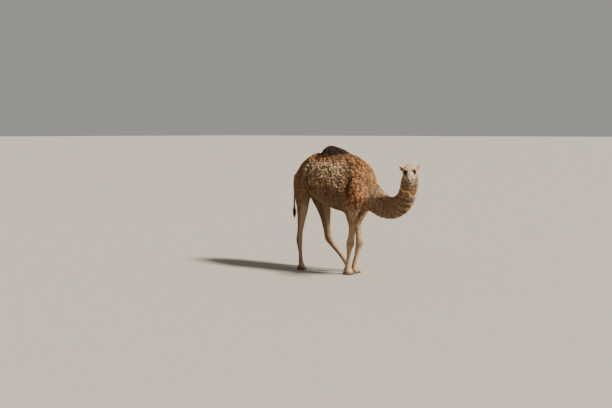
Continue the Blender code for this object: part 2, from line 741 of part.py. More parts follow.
def flatten_faces(obj):
    """Splits all faces into triangles, so that each of them is flat."""
    bm = bmesh.new()
    bm.from_mesh(obj.data)
    bmesh.ops.triangulate(bm, faces=bm.faces)
    bm.to_mesh(obj.data)
    bm.free()


def fit(obj, name, *hosts):
    """Names a small part and cuts its socket into the parts that hold it."""
    rename(obj, name)
    flatten_faces(obj)
    for host in hosts:
        combine(bpy.data.objects[host], swollen(obj), "DIFFERENCE")


def small_parts():
    for name, side in (("left", 1), ("right", -1)):
        fit(eye(side), "eye_" + name, "head")
        fit(ear("ear_" + name), "ear_" + name, "head")
    for foot_name in FEET:
        end, flank = foot_name.split("_")
        host = f"{end.replace('front', 'fore')}leg_{flank}_foot"
        outwards = 1 if flank == "left" else -1
        for which, side in (("outer", outwards), ("inner", -outwards)):
            fit(nail(foot_name, side), f"nail_{foot_name}_{which}", host)
    fit(collar(), "collar", "neck_upper")
    fit(knot(), "collar_knot", "neck_upper", "collar")


def centre_on_floor():
    """Moves all so that the middle of the bounding box stands on the origin."""
    corners = [Vector(corner) for obj in PARTS.objects for corner in obj.bound_box]
    low = Vector([min(corner[k] for corner in corners) for k in range(3)])
    high = Vector([max(corner[k] for corner in corners) for k in range(3)])
    middle = (low + high) / 2
    for obj in [*PARTS.objects, *CUTTERS.objects]:
        obj.data.transform(Matrix.Translation((-middle.x, -middle.y, -low.z)))


def stand(obj, root):
    """Gives obj its own middle as its origin and hangs it under the root."""
    corners = [Vector(corner) for corner in obj.bound_box]
    middle = sum(corners, Vector()) / len(corners)
    obj.data.transform(Matrix.Translation(-middle))
    obj.location = middle
    obj.parent = root


def main():
    clear_scene()
    bpy.context.scene.collection.children.link(PARTS)
    bpy.context.scene.collection.children.link(CUTTERS)
    form = rename(whole_form(), "trunk")
    part_form(combine(form, box_below(0.0, FLOOR_REACH), "DIFFERENCE"))
    small_parts()
    centre_on_floor()
    root = bpy.data.objects.new("camel_root", None)
    for obj in list(PARTS.objects):
        stand(obj, root)
        paint(obj)
        obj.data.shade_smooth()
        obj.data.set_sharp_from_angle(angle=SHARPEST)
    PARTS.objects.link(root)


if __name__ == "__main__":
    main()
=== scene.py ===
"""A dromedary camel as a still museum model, in metres and at life size.

One skin runs from the lips to the soles and lies under the coat. The coat is solid locks: curled
wool on the flanks, shoulders and hump, longer hair on the neck and the tail's tuft, and short
flat hair on the face and legs. Eyes, lids, lashes, toenails and collar are pieces of their own.

All shapes are worked out in the body's own frame: +X the way the body faces, +Y its left side,
soles at z = 0. set_down() moves them to the frame that the solids stand in.
"""

import itertools
import math
from contextlib import contextmanager

import bmesh
import bpy
import numpy as np
from bpy.props import FloatProperty, FloatVectorProperty, PointerProperty
from bpy.types import Operator, Panel, PropertyGroup
from mathutils import Matrix, Vector
from mathutils.bvhtree import BVHTree


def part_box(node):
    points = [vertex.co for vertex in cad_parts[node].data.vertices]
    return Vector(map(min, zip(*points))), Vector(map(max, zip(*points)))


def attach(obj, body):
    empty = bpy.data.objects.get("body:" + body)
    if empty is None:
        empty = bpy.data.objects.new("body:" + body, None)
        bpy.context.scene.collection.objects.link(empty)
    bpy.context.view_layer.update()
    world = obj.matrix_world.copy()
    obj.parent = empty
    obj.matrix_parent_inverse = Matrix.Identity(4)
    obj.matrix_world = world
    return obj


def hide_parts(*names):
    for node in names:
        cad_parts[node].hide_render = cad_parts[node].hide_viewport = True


bl_info = {
    "name": "Dromedary camel",
    "version": (1, 0, 0),
    "blender": (4, 5, 0),
    "location": "3D View > Sidebar > Camel",
    "description": "Builds the skin, coat, eyes, nails and collar of a standing dromedary",
    "category": "Object",
}

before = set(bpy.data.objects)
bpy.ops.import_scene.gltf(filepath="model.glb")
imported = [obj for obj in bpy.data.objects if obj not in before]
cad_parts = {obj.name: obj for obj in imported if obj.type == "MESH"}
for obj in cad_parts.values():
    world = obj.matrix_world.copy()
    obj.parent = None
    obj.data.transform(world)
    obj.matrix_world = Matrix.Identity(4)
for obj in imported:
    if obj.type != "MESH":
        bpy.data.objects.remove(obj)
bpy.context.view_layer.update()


# ---- the body's lines ----------------------------------------------------------------------------
# A section is: centre x, y, z, then how far it reaches up, down and to each side of its line,
# and how pointed its upper and lower halves are. Where those last two are left out they are 1,
# an ellipse. On a leg, whose line runs down, "up" is forwards and "down" is backwards.
TRUNK = (
    (-0.790, 0.0, 1.44, 0.100, 0.060, 0.050, 1.00, 1.00),
    (-0.765, 0.0, 1.44, 0.190, 0.120, 0.100, 1.10, 1.00),
    (-0.700, 0.0, 1.44, 0.290, 0.190, 0.145, 1.30, 1.00),
    (-0.600, 0.0, 1.44, 0.400, 0.190, 0.215, 1.50, 1.00),
    (-0.450, 0.0, 1.44, 0.490, 0.150, 0.278, 1.55, 1.00),
    (-0.350, 0.0, 1.44, 0.522, 0.205, 0.310, 1.50, 1.00),
    (-0.200, 0.0, 1.44, 0.535, 0.295, 0.345, 1.50, 0.95),
    (0.000, 0.0, 1.44, 0.545, 0.368, 0.370, 1.50, 0.95),
    (0.120, 0.0, 1.44, 0.550, 0.410, 0.370, 1.50, 0.95),
    (0.260, 0.0, 1.44, 0.548, 0.435, 0.352, 1.50, 0.95),
    (0.420, 0.0, 1.44, 0.512, 0.445, 0.312, 1.60, 1.00),
    (0.580, 0.0, 1.44, 0.455, 0.410, 0.250, 1.70, 1.00),
    (0.700, 0.0, 1.44, 0.385, 0.375, 0.195, 1.70, 1.00),
    (0.790, 0.0, 1.44, 0.285, 0.320, 0.135, 1.50, 1.00),
    (0.850, 0.0, 1.44, 0.150, 0.200, 0.080, 1.00, 1.00),
)
HUMP = (
    (-0.270, 0.0, 1.86, 0.07, 0.08, 0.05, 1.0, 1.0),
    (-0.200, 0.0, 1.86, 0.12, 0.10, 0.12, 1.2, 1.0),
    (-0.140, 0.0, 1.86, 0.205, 0.10, 0.15, 1.35, 1.0),
    (-0.060, 0.0, 1.86, 0.243, 0.10, 0.16, 1.4, 1.0),
    (0.060, 0.0, 1.86, 0.222, 0.10, 0.16, 1.4, 1.0),
    (0.180, 0.0, 1.86, 0.178, 0.10, 0.14, 1.3, 1.0),
    (0.300, 0.0, 1.86, 0.130, 0.10, 0.11, 1.1, 1.0),
    (0.420, 0.0, 1.86, 0.060, 0.08, 0.05, 1.0, 1.0),
)
NECK = (
    (0.560, 0.000, 1.430, 0.240, 0.300, 0.180, 1.3, 1.0),
    (0.740, 0.000, 1.330, 0.220, 0.270, 0.175, 1.2, 1.0),
    (0.900, 0.000, 1.215, 0.200, 0.215, 0.160, 1.1, 1.0),
    (1.040, 0.000, 1.150, 0.185, 0.195, 0.145, 1.0, 1.0),
    (1.180, 0.005, 1.135, 0.165, 0.185, 0.138, 1.0, 1.0),
    (1.320, 0.005, 1.190, 0.150, 0.170, 0.133, 1.0, 1.0),
    (1.430, -0.005, 1.300, 0.140, 0.160, 0.130, 1.0, 1.0),
    (1.490, -0.030, 1.430, 0.135, 0.150, 0.130, 1.0, 1.0),
    (1.531, -0.051, 1.560, 0.125, 0.145, 0.131, 1.0, 1.0),
    (1.556, -0.076, 1.680, 0.090, 0.115, 0.106, 1.0, 1.0),
)
# On the head's own line, from the nape to the lips: distance, height, then reaches as above.
SKULL = (
    (-0.030, 0.000, 0.055, 0.070, 0.068, 1.00, 1.00),
    (0.000, 0.000, 0.088, 0.095, 0.094, 1.00, 1.00),
    (0.055, 0.000, 0.113, 0.115, 0.108, 1.00, 1.00),
    (0.110, 0.000, 0.114, 0.125, 0.113, 0.90, 1.10),
    (0.170, 0.000, 0.095, 0.118, 0.091, 0.85, 1.15),
    (0.225, 0.000, 0.068, 0.098, 0.069, 0.90, 1.10),
    (0.300, 0.000, 0.052, 0.084, 0.055, 0.90, 1.00),
    (0.380, 0.000, 0.046, 0.076, 0.052, 0.85, 0.95),
    (0.435, 0.000, 0.038, 0.070, 0.056, 0.80, 0.90),
    (0.473, 0.000, 0.020, 0.060, 0.048, 0.90, 0.90),
    (0.498, 0.000, 0.000, 0.036, 0.028, 1.00, 1.00),
)
JAW = (
    (0.050, -0.055, 0.040, 0.050, 0.060, 1.0, 1.0),
    (0.130, -0.078, 0.050, 0.062, 0.078, 1.0, 1.1),
    (0.230, -0.070, 0.040, 0.042, 0.055, 1.0, 1.1),
    (0.340, -0.058, 0.030, 0.034, 0.044, 1.0, 1.0),
    (0.420, -0.054, 0.026, 0.034, 0.043, 1.0, 1.0),
    (0.456, -0.057, 0.024, 0.033, 0.038, 1.0, 1.0),
    (0.480, -0.062, 0.014, 0.020, 0.024, 1.0, 1.0),
)
FORELEG_RIGHT = (
    (0.450, -0.090, 1.640, 0.110, 0.150, 0.070),
    (0.560, -0.160, 1.480, 0.180, 0.210, 0.110),
    (0.620, -0.198, 1.320, 0.195, 0.225, 0.120),
    (0.598, -0.205, 1.190, 0.160, 0.215, 0.112),
    (0.560, -0.198, 1.070, 0.115, 0.190, 0.092),
    (0.540, -0.180, 0.930, 0.078, 0.122, 0.066),
    (0.520, -0.155, 0.780, 0.060, 0.068, 0.052),
    (0.475, -0.125, 0.620, 0.060, 0.056, 0.054),
    (0.443, -0.112, 0.515, 0.075, 0.064, 0.066),
    (0.422, -0.105, 0.420, 0.054, 0.052, 0.050),
    (0.405, -0.100, 0.290, 0.041, 0.043, 0.037),
    (0.392, -0.100, 0.160, 0.045, 0.048, 0.042),
    (0.395, -0.100, 0.100, 0.055, 0.055, 0.052),
)
FORELEG_LEFT = (
    (0.440, 0.090, 1.640, 0.110, 0.150, 0.070),
    (0.540, 0.160, 1.480, 0.180, 0.210, 0.110),
    (0.590, 0.195, 1.320, 0.200, 0.220, 0.120),
    (0.550, 0.195, 1.190, 0.160, 0.205, 0.112),
    (0.485, 0.178, 1.070, 0.115, 0.170, 0.092),
    (0.430, 0.152, 0.910, 0.078, 0.100, 0.066),
    (0.415, 0.135, 0.780, 0.058, 0.062, 0.052),
    (0.450, 0.115, 0.620, 0.060, 0.056, 0.054),
    (0.475, 0.100, 0.515, 0.075, 0.062, 0.066),
    (0.450, 0.095, 0.420, 0.054, 0.052, 0.050),
    (0.420, 0.090, 0.290, 0.041, 0.043, 0.037),
    (0.390, 0.085, 0.160, 0.045, 0.048, 0.042),
    (0.388, 0.085, 0.100, 0.055, 0.055, 0.052),
)
HINDLEG_RIGHT = (
    (-0.450, -0.110, 1.640, 0.150, 0.160, 0.070),
    (-0.505, -0.135, 1.500, 0.200, 0.195, 0.105),
    (-0.505, -0.165, 1.350, 0.185, 0.172, 0.112),
    (-0.500, -0.186, 1.200, 0.152, 0.152, 0.102),
    (-0.490, -0.197, 1.060, 0.120, 0.124, 0.082),
    (-0.510, -0.200, 0.870, 0.080, 0.080, 0.062),
    (-0.540, -0.200, 0.650, 0.052, 0.056, 0.047),
    (-0.555, -0.200, 0.500, 0.055, 0.066, 0.050),
    (-0.548, -0.200, 0.400, 0.043, 0.050, 0.041),
    (-0.535, -0.200, 0.270, 0.036, 0.038, 0.034),
    (-0.525, -0.200, 0.150, 0.040, 0.042, 0.038),
    (-0.520, -0.200, 0.090, 0.050, 0.048, 0.046),
)
HINDLEG_LEFT = (
    (-0.430, 0.110, 1.640, 0.150, 0.160, 0.070),
    (-0.490, 0.140, 1.500, 0.200, 0.215, 0.105),
    (-0.460, 0.165, 1.340, 0.195, 0.210, 0.115),
    (-0.400, 0.178, 1.190, 0.175, 0.185, 0.104),
    (-0.335, 0.182, 1.050, 0.140, 0.160, 0.084),
    (-0.290, 0.182, 0.870, 0.090, 0.118, 0.062),
    (-0.255, 0.180, 0.660, 0.060, 0.084, 0.049),
    (-0.220, 0.176, 0.535, 0.056, 0.088, 0.050),
    (-0.150, 0.180, 0.445, 0.046, 0.072, 0.043),
    (-0.020, 0.190, 0.310, 0.038, 0.054, 0.036),
    (0.100, 0.196, 0.185, 0.040, 0.050, 0.038),
    (0.155, 0.200, 0.110, 0.048, 0.050, 0.046),
)
TAIL = (
    (-0.720, 0.000, 1.600, 0.050, 0.050, 0.050),
    (-0.788, 0.000, 1.582, 0.036, 0.036, 0.040),
    (-0.828, -0.001, 1.500, 0.025, 0.025, 0.032),
    (-0.835, -0.004, 1.360, 0.020, 0.020, 0.026),
    (-0.829, -0.011, 1.190, 0.018, 0.018, 0.020),
    (-0.824, -0.018, 1.060, 0.021, 0.021, 0.023),
    (-0.821, -0.022, 0.980, 0.030, 0.030, 0.031),
    (-0.818, -0.024, 0.910, 0.024, 0.024, 0.025),
    (-0.816, -0.026, 0.865, 0.010, 0.010, 0.010),
)
# Feet: the pad's middle, half length, half width and how high its instep is.
FEET = {
    "front_right": ((0.405, -0.100), 0.094, 0.076, 0.062),
    "front_left": ((0.398, 0.085), 0.094, 0.076, 0.062),
    "hind_right": ((-0.505, -0.200), 0.084, 0.066, 0.056),
    "hind_left": ((0.180, 0.202), 0.084, 0.066, 0.056),
}
SOLE_DEPTH = 0.03        # how far the feet run below the floor before their soles are cut flat
TOE_SPLAY = 0.42         # how far each toe's middle is from the foot's, as a share of its half width
CHEST_PAD = ((0.360, 0.0, 1.010), (0.120, 0.085, 0.065))

# The head's line starts at its nape and runs towards its lips.
HEAD_ORIGIN = Vector((1.540, -0.068, 1.732))
HEAD_TURN = math.radians(-55.0)      # from +X towards the right side
HEAD_DROP = math.radians(17.0)       # nose below the level
HEAD_ROLL = math.radians(5.0)        # left eye above the right one
# Places on the head: along, to its left and up from its line.
EYE = np.array((0.190, 0.068, 0.032))
EYE_RADIUS = 0.0215
BROW = (0.164, 0.066, 0.067)
BROW_REACH = (0.050, 0.028, 0.017)
EARS = {
    # root, the way the ear points and its length
    "ear_left": ((0.048, 0.092, -0.008), (-0.58, 0.54, 0.60), 0.102),
    "ear_right": ((0.048, -0.092, -0.002), (-0.58, -0.58, 0.57), 0.100),
}
EAR_ROWS = (
    # share of the length, half width, half thickness, then how far the rims curl forwards
    (-0.16, 0.012, 0.0060, 0.000),
    (0.00, 0.014, 0.0060, 0.001),
    (0.14, 0.016, 0.0042, 0.005),
    (0.36, 0.023, 0.0034, 0.009),
    (0.60, 0.024, 0.0030, 0.009),
    (0.82, 0.016, 0.0026, 0.006),
    (0.95, 0.008, 0.0022, 0.002),
    (1.00, 0.002, 0.0012, 0.000),
)
EAR_FACING = np.array((1.0, 0.0, 0.25))    # the way in which both ears are open


# ---- plain mathematics ---------------------------------------------------------------------------
def smoothstep(low, high, value):
    """0 at low, 1 at high, and a smooth rise between them."""
    t = np.clip((value - low) / (high - low), 0.0, 1.0)
    return t * t * (3 - 2 * t)


def unit(vectors):
    """The same directions, each 1 long."""
    return vectors / (np.linalg.norm(vectors, axis=-1, keepdims=True) + 1e-12)


def dots(a, b):
    """The dot product of each pair of vectors."""
    return (a * b).sum(-1)


def bump(points, centre, reach):
    """1 at the centre, falling as a bell to nothing about two reaches away."""
    return np.exp(-(((points - np.array(centre)) / np.array(reach)) ** 2).sum(-1))


def bell(gap, width):
    """1 where the gap is 0, falling to nothing where it is about two widths."""
    return np.exp(-((gap / width) ** 2))


def full_turn(count):
    """That many angles, spread evenly round a circle."""
    return np.arange(count) * math.tau / count


def to_segment(points, start, end):
    """Each point's distance from the straight line between two places."""
    start, end = np.array(start), np.array(end)
    way = end - start
    share = np.clip((points - start) @ way / (way @ way), 0.0, 1.0)
    return np.linalg.norm(points - start - share[:, None] * way, axis=1)


def wavy(points, size, seed):
    """A smooth, random-looking value from about -1 to 1: six sine waves of that length, mixed."""
    rng = np.random.default_rng(seed)
    ways = unit(rng.normal(size=(6, 3))) * (math.tau / size) * rng.uniform(0.7, 1.4, (6, 1))
    return np.sin(points @ ways.T + rng.uniform(0, math.tau, 6)).sum(1) / 3.5


def scatter(cell, salt):
    """A number from 0 to 1 for each cell of a lattice, by mixing its whole-number place."""
    mixed = cell[:, 0] * 73856093 ^ cell[:, 1] * 19349663 ^ cell[:, 2] * 83492791 ^ salt * 2654435761
    mixed = (mixed ^ (mixed >> 13)) * 1274126177
    return ((mixed ^ (mixed >> 16)) & 0xFFFF) / 0xFFFF


def clumps(points, size):
    """Parts space into clumps round jittered middles, about size apart.

    Gives each point's distance from its clump's middle as a share of size, the way to that
    middle, and a number from 0 to 1 that the whole clump shares."""
    base = np.floor(points / size).astype(np.int64)
    nearest = np.full(len(points), np.inf)
    way = np.zeros_like(points)
    shared = np.zeros(len(points))
    for offset in itertools.product((-1, 0, 1), repeat=3):
        cell = base + np.array(offset)
        middle = (cell + np.stack([scatter(cell, salt) for salt in (1, 2, 3)], 1)) * size
        gap = np.linalg.norm(middle - points, axis=1)
        closer = gap < nearest
        nearest[closer] = gap[closer]
        way[closer] = (middle - points)[closer]
        shared[closer] = scatter(cell, 4)[closer]
    return nearest / size, way, shared


# ---- lines and tubes -----------------------------------------------------------------------------
def smooth_rows(rows, steps):
    """The rows with steps - 1 more between each two, on Catmull-Rom curves through them."""
    rows = np.array(rows, float)
    padded = np.vstack([2 * rows[0] - rows[1], rows, 2 * rows[-1] - rows[-2]])
    a, b, c, d = padded[:-3], padded[1:-2], padded[2:-1], padded[3:]
    t = (np.arange(steps) / steps)[None, :, None]
    a, b, c, d = (part[:, None] for part in (a, b, c, d))
    curve = 2 * b + (c - a) * t + (2 * a - 5 * b + 4 * c - d) * t**2 + (3 * b - a - 3 * c + d) * t**3
    return np.vstack([0.5 * curve.reshape(-1, rows.shape[1]), rows[-1:]])


def across_body(share):
    """A leg's or the trunk's sideways direction: +Y all along."""
    return np.tile((0.0, 1.0, 0.0), (len(share), 1))


def across_neck(share):
    """The neck's sideways direction turns with the head in its upper third."""
    turn = HEAD_TURN * np.maximum(0.0, (share - 0.55) / 0.45)
    return np.stack([-np.sin(turn), np.cos(turn), np.zeros(len(share))], 1)


class Line:
    """The middle line of one part, with the size of its oval sections."""

    def __init__(self, rows, across=across_body, matrix=Matrix.Identity(4), steps=6):
        rows = smooth_rows([(*row, 1.0, 1.0)[:8] for row in rows], steps)
        share = np.linspace(0, 1, len(rows))
        centre, side = rows[:, :3], across(share)
        turn = np.array(matrix)
        self.centre = centre @ turn[:3, :3].T + turn[:3, 3]
        side = side @ turn[:3, :3].T
        ahead = np.empty_like(self.centre)
        ahead[1:-1] = self.centre[2:] - self.centre[:-2]
        ahead[0] = self.centre[1] - self.centre[0]
        ahead[-1] = self.centre[-1] - self.centre[-2]
        self.ahead = unit(ahead)
        self.side = unit(side - dots(side, self.ahead)[:, None] * self.ahead)
        self.up = np.cross(self.ahead, self.side)
        self.up_reach, self.down_reach, self.side_reach, self.peak, self.keel = rows[:, 3:8].T
        steps_long = np.linalg.norm(np.diff(self.centre, axis=0), axis=1)
        self.length = steps_long.sum()
        self.pace = steps_long.mean()

    def tube(self, corners=28):
        """Rings of points: side * |cos|^point sideways and up or down reach * sin upwards."""
        c, s = np.cos(full_turn(corners))[None], np.sin(full_turn(corners))[None]
        power = np.where(s >= 0, self.peak[:, None], self.keel[:, None])
        across = self.side_reach[:, None] * np.sign(c) * np.abs(c) ** power
        rise = np.where(s >= 0, self.up_reach[:, None], self.down_reach[:, None]) * s
        return (
            self.centre[:, None]
            + across[..., None] * self.side[:, None]
            + rise[..., None] * self.up[:, None]
        )

    def places(self, points):
        """How each point lies to the line: reach (1 on the surface), share along and angle."""
        gaps = (self.centre**2).sum(1) - 2 * points @ self.centre.T
        row = gaps.argmin(1)
        away = points - self.centre[row]
        step = dots(away, self.ahead[row])
        limit = 0.6 * self.pace
        over = step - np.clip(step, -limit, limit)
        at_end = ((row == 0) & (step < 0)) | ((row == len(self.centre) - 1) & (step > 0))
        over = np.where(at_end, over, 0.0)
        sideways, upwards = dots(away, self.side[row]), dots(away, self.up[row])
        reach_up = np.where(upwards >= 0, self.up_reach[row], self.down_reach[row])
        flat = np.hypot(sideways / self.side_reach[row], upwards / reach_up)
        reach = np.hypot(flat, over / (0.5 * (self.side_reach[row] + reach_up)))
        share = (row + np.where(at_end, 0.0, step / self.pace)) / (len(self.centre) - 1)
        share = share + np.where(at_end, over / self.length, 0.0)
        return reach, share, np.arctan2(upwards, sideways), self.ahead[row]


HEAD = Matrix.Rotation(HEAD_TURN, 4, "Z") @ Matrix.Rotation(HEAD_DROP, 4, "Y")
HEAD = Matrix.Translation(HEAD_ORIGIN) @ (HEAD @ Matrix.Rotation(HEAD_ROLL, 4, "X"))
HEAD_IN = np.array(HEAD.inverted())
HEAD_OUT = np.array(HEAD)
# From the body's own frame to the frame that the solids stand in.
EYE_PLACE = HEAD @ Vector(EYE)
SHIFT = np.array([(a + b) / 2 for a, b in zip(*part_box("eye_left"))]) - np.array(EYE_PLACE)
SHIFT[2] = 0.0


def in_head(points):
    """Points of the body, in the head's own frame."""
    return points @ HEAD_IN[:3, :3].T + HEAD_IN[:3, 3]


def out_of_head(points):
    """Points of the head, in an array of any shape, as points of the body."""
    flat = points.reshape(-1, 3) @ HEAD_OUT[:3, :3].T + HEAD_OUT[:3, 3]
    return flat.reshape(points.shape)


def on_head(points):
    """Points in the head's own frame, and the same with all of them on its left half."""
    local = in_head(points)
    return local, local * (1, 0, 1) + np.abs(local[:, 1:2]) * (0, 1, 0)


def head_rows(rows):
    """Rows on the head's own line as full sections."""
    return [(along, 0.0, *rest) for along, *rest in rows]


def bead_rows(centre, reach):
    """Sections of an egg that lies along x: each reach times the sine of the way round."""
    rows = []
    for angle in np.linspace(0.12, math.pi - 0.12, 9):
        s = math.sin(angle)
        x = centre[0] - reach[0] * math.cos(angle)
        rows.append((x, centre[1], centre[2], reach[2] * s, reach[2] * s, reach[1] * s))
    return rows


def toe_rows(place, half_length, half_width, instep, side):
    """Sections of one toe, from under the floor up to the pastern."""
    x, y = place
    out = side * half_width * TOE_SPLAY
    wide = half_width * (1 - TOE_SPLAY)
    front, back = half_length * 1.02, half_length * 0.90
    rows = (
        # height, share of the toe's length, then of its width
        (-SOLE_DEPTH, 1.00, 1.00),
        (0.018, 1.00, 1.00),
        (0.040, 0.92, 0.92),
        (0.042 + instep * 0.55, 0.66, 0.80),
        (0.050 + instep, 0.45, 0.66),
    )
    return [(x, y + out * across, z, front * along, back * along, wide * across, 0.85, 1.0)
            for z, along, across in rows]


LINES = {
    "trunk": Line(TRUNK),
    "hump": Line(HUMP),
    "neck": Line(NECK, across_neck),
    "skull": Line(head_rows(SKULL), matrix=HEAD),
    "jaw": Line(head_rows(JAW), matrix=HEAD),
    "foreleg_right": Line(FORELEG_RIGHT),
    "foreleg_left": Line(FORELEG_LEFT),
    "hindleg_right": Line(HINDLEG_RIGHT),
    "hindleg_left": Line(HINDLEG_LEFT),
    "tail": Line(TAIL),
}
SKULL_LINE = Line(head_rows(SKULL))      # in the head's own frame
PARTS = list(LINES)
FORELEGS = ("foreleg_right", "foreleg_left")
HINDLEGS = ("hindleg_right", "hindleg_left")
LEGS = FORELEGS + HINDLEGS
FIRMNESS = 0.10          # how sharply one part gives way to the next
PLEAT = 0.071            # from one fold of the neck to the next


class Anatomy:
    """Where points lie on the body: the share of each part, and the share along and angle on it."""

    def __init__(self, points):
        found = [line.places(points) for line in LINES.values()]
        reach, self.along, self.angle, self.ahead = (np.stack(column, 1) for column in zip(*found))
        weight = np.exp(-(reach - reach.min(1, keepdims=True)) / FIRMNESS)
        self.weight = weight / weight.sum(1, keepdims=True)

    def share(self, *names):
        """How much of each point belongs to those parts."""
        return sum(self.weight[:, PARTS.index(name)] for name in names)

    def on(self, name):
        """Each point's share along one part's line and its angle round it."""
        column = PARTS.index(name)
        return self.along[:, column], self.angle[:, column]


# ---- the coat, as numbers ------------------------------------------------------------------------
# Along each part's line: share along, coat depth, then a lock's length and width, all in mm,
# locks on each square metre, and how woolly they are, from 0 (straight) to 1 (curled).
COAT = {
    "trunk": (
        (0.00, 8, 24, 4.6, 12600, 0.3),
        (0.22, 11, 28, 5.2, 12200, 0.5),
        (0.38, 16, 32, 7.4, 10300, 1.0),
        (0.85, 17, 34, 7.6, 10300, 1.0),
        (1.00, 14, 32, 6.2, 11200, 0.6),
    ),
    "hump": (
        (0.00, 17, 34, 7.4, 11200, 0.8),
        (1.00, 17, 34, 7.4, 11200, 0.8),
    ),
    "neck": (
        (0.00, 14, 32, 5.4, 12500, 0.5),
        (0.40, 13, 36, 4.8, 13400, 0.2),
        (1.00, 11, 30, 4.4, 14300, 0.2),
    ),
    "skull": (
        (0.00, 8, 18, 2.9, 30000, 0.3),
        (0.25, 6, 13, 2.3, 36000, 0.2),
        (0.42, 3, 8, 1.6, 48000, 0.0),
        (1.00, 2, 5, 1.2, 56000, 0.0),
    ),
    "jaw": (
        (0.00, 8, 20, 3.2, 26000, 0.1),
        (0.40, 5, 12, 2.2, 38000, 0.0),
        (1.00, 2, 6, 1.3, 52000, 0.0),
    ),
    "foreleg": (
        (0.00, 16, 32, 7.2, 10300, 1.0),
        (0.30, 15, 32, 6.8, 10300, 0.9),
        (0.42, 8, 24, 4.4, 13500, 0.3),
        (0.60, 4, 13, 2.9, 19000, 0.0),
        (1.00, 3, 9, 2.3, 20000, 0.0),
    ),
    "hindleg": (
        (0.00, 9, 26, 5.2, 12500, 0.3),
        (0.35, 6, 20, 3.8, 16000, 0.0),
        (0.60, 4, 13, 2.9, 19000, 0.0),
        (1.00, 3, 9, 2.3, 20000, 0.0),
    ),
    "tail": (
        (0.00, 6, 24, 3.6, 18000, 0.0),
        (0.60, 5, 30, 3.4, 20000, 0.0),
        (0.72, 9, 70, 3.4, 30000, 0.2),
        (1.00, 8, 60, 3.4, 30000, 0.2),
    ),
}
COAT_COLUMNS = ("depth", "length", "width", "density", "woolly")
MM = 0.001


def coat_numbers(place):
    """The coat's depth, lock size, density and woolliness, blended over the parts."""
    values = np.zeros((len(place.weight), len(COAT_COLUMNS)))
    for k, name in enumerate(PARTS):
        rows = np.array(COAT[name.split("_")[0]], float)
        for column in range(len(COAT_COLUMNS)):
            value = np.interp(place.along[:, k], rows[:, 0], rows[:, column + 1])
            values[:, column] += place.weight[:, k] * value
    values[:, :3] *= MM
    return dict(zip(COAT_COLUMNS, values.T))


AGAINST = ("trunk", "hump", "neck", "skull", "jaw")      # the hair lies back along these lines
SAG = {"trunk": 0.75, "hump": 0.6, "neck": 0.55, "tail": 0.3}


def coat_lie(normals, place):
    """The way that the coat lies: back along the trunk and down, down the legs and the neck.

    Also says how sure it is, from 0 where the skin faces that way to 1 where it runs along it."""
    lie = np.zeros_like(normals)
    for k, name in enumerate(PARTS):
        way = (-1.0 if name in AGAINST else 1.0) * place.ahead[:, k]
        way = way + np.array((0.0, 0.0, -SAG.get(name, 0.0)))
        lie += place.weight[:, k, None] * way
    lie -= dots(lie, normals)[:, None] * normals
    return unit(lie), np.clip(np.linalg.norm(lie, axis=1), 0, 1)


# The shoulder's rear edge, from the withers down to the elbow, in x and z.
SHOULDER_LINE = ((0.31, 1.95), (0.49, 1.77), (0.525, 1.54), (0.49, 1.20))
# The thigh's front edge, from the hip down to the stifle.
THIGH_LINE = ((-0.30, 1.72), (-0.335, 1.45), (-0.30, 1.18))
# Where the lips meet, on the head's left half.
LIP_LINE = ((0.492, 0.000, -0.038), (0.474, 0.034, -0.044), (0.420, 0.054, -0.046), (0.345, 0.058, -0.050))


def from_line(points, line):
    """Each point's distance from a line drawn through places, by its nearest stretch."""
    return np.minimum.reduce([to_segment(points, a, b) for a, b in zip(line, line[1:])])


def side_bell(points, line, width):
    """A bell across a line of x and z that is drawn on the body's side, seen square on."""
    return bell(from_line(points * (1, 0, 1), [(x, 0, z) for x, z in line]), width)


def front_of(place, names):
    """1 on the front of those legs, 0 at their sides, below 0 behind."""
    return sum(place.share(name) * np.sin(place.on(name)[1]) for name in names)


def curly(points, place):
    """How curled the wool is, from 0 to 1: most on the upper flank, shoulder and hump."""
    x, _, z = points.T
    high = smoothstep(1.22, 1.52, z)
    forward = smoothstep(0.44, 0.56, x) * smoothstep(0.86, 0.99, z)
    behind = smoothstep(-0.62, -0.36, x)
    return coat_numbers(place)["woolly"] * np.maximum(high * (0.25 + 0.75 * behind), forward)


def pleats(place):
    """The folds across the neck: a wave along it, how far it stands out and how near the throat."""
    along, angle = place.on("neck")
    run = along * LINES["neck"].length
    drift = 0.10 * np.sin(math.tau * run / 0.37) + 0.22 * np.sin(angle * 2 + run * 9.0)
    wave = np.cos(math.tau * (run / PLEAT + drift))
    held = smoothstep(0.16, 0.34, along) * smoothstep(0.97, 0.84, along)
    return wave, held * place.share("neck"), 0.5 - 0.5 * np.sin(angle)


# ---- markings, with painted light and shade, the same in the skin and the coat -------------------
def strongest(*marked):
    """The strongest of some marks, each given as how far it goes and where it is."""
    return np.maximum.reduce([share * mask for share, mask in marked])


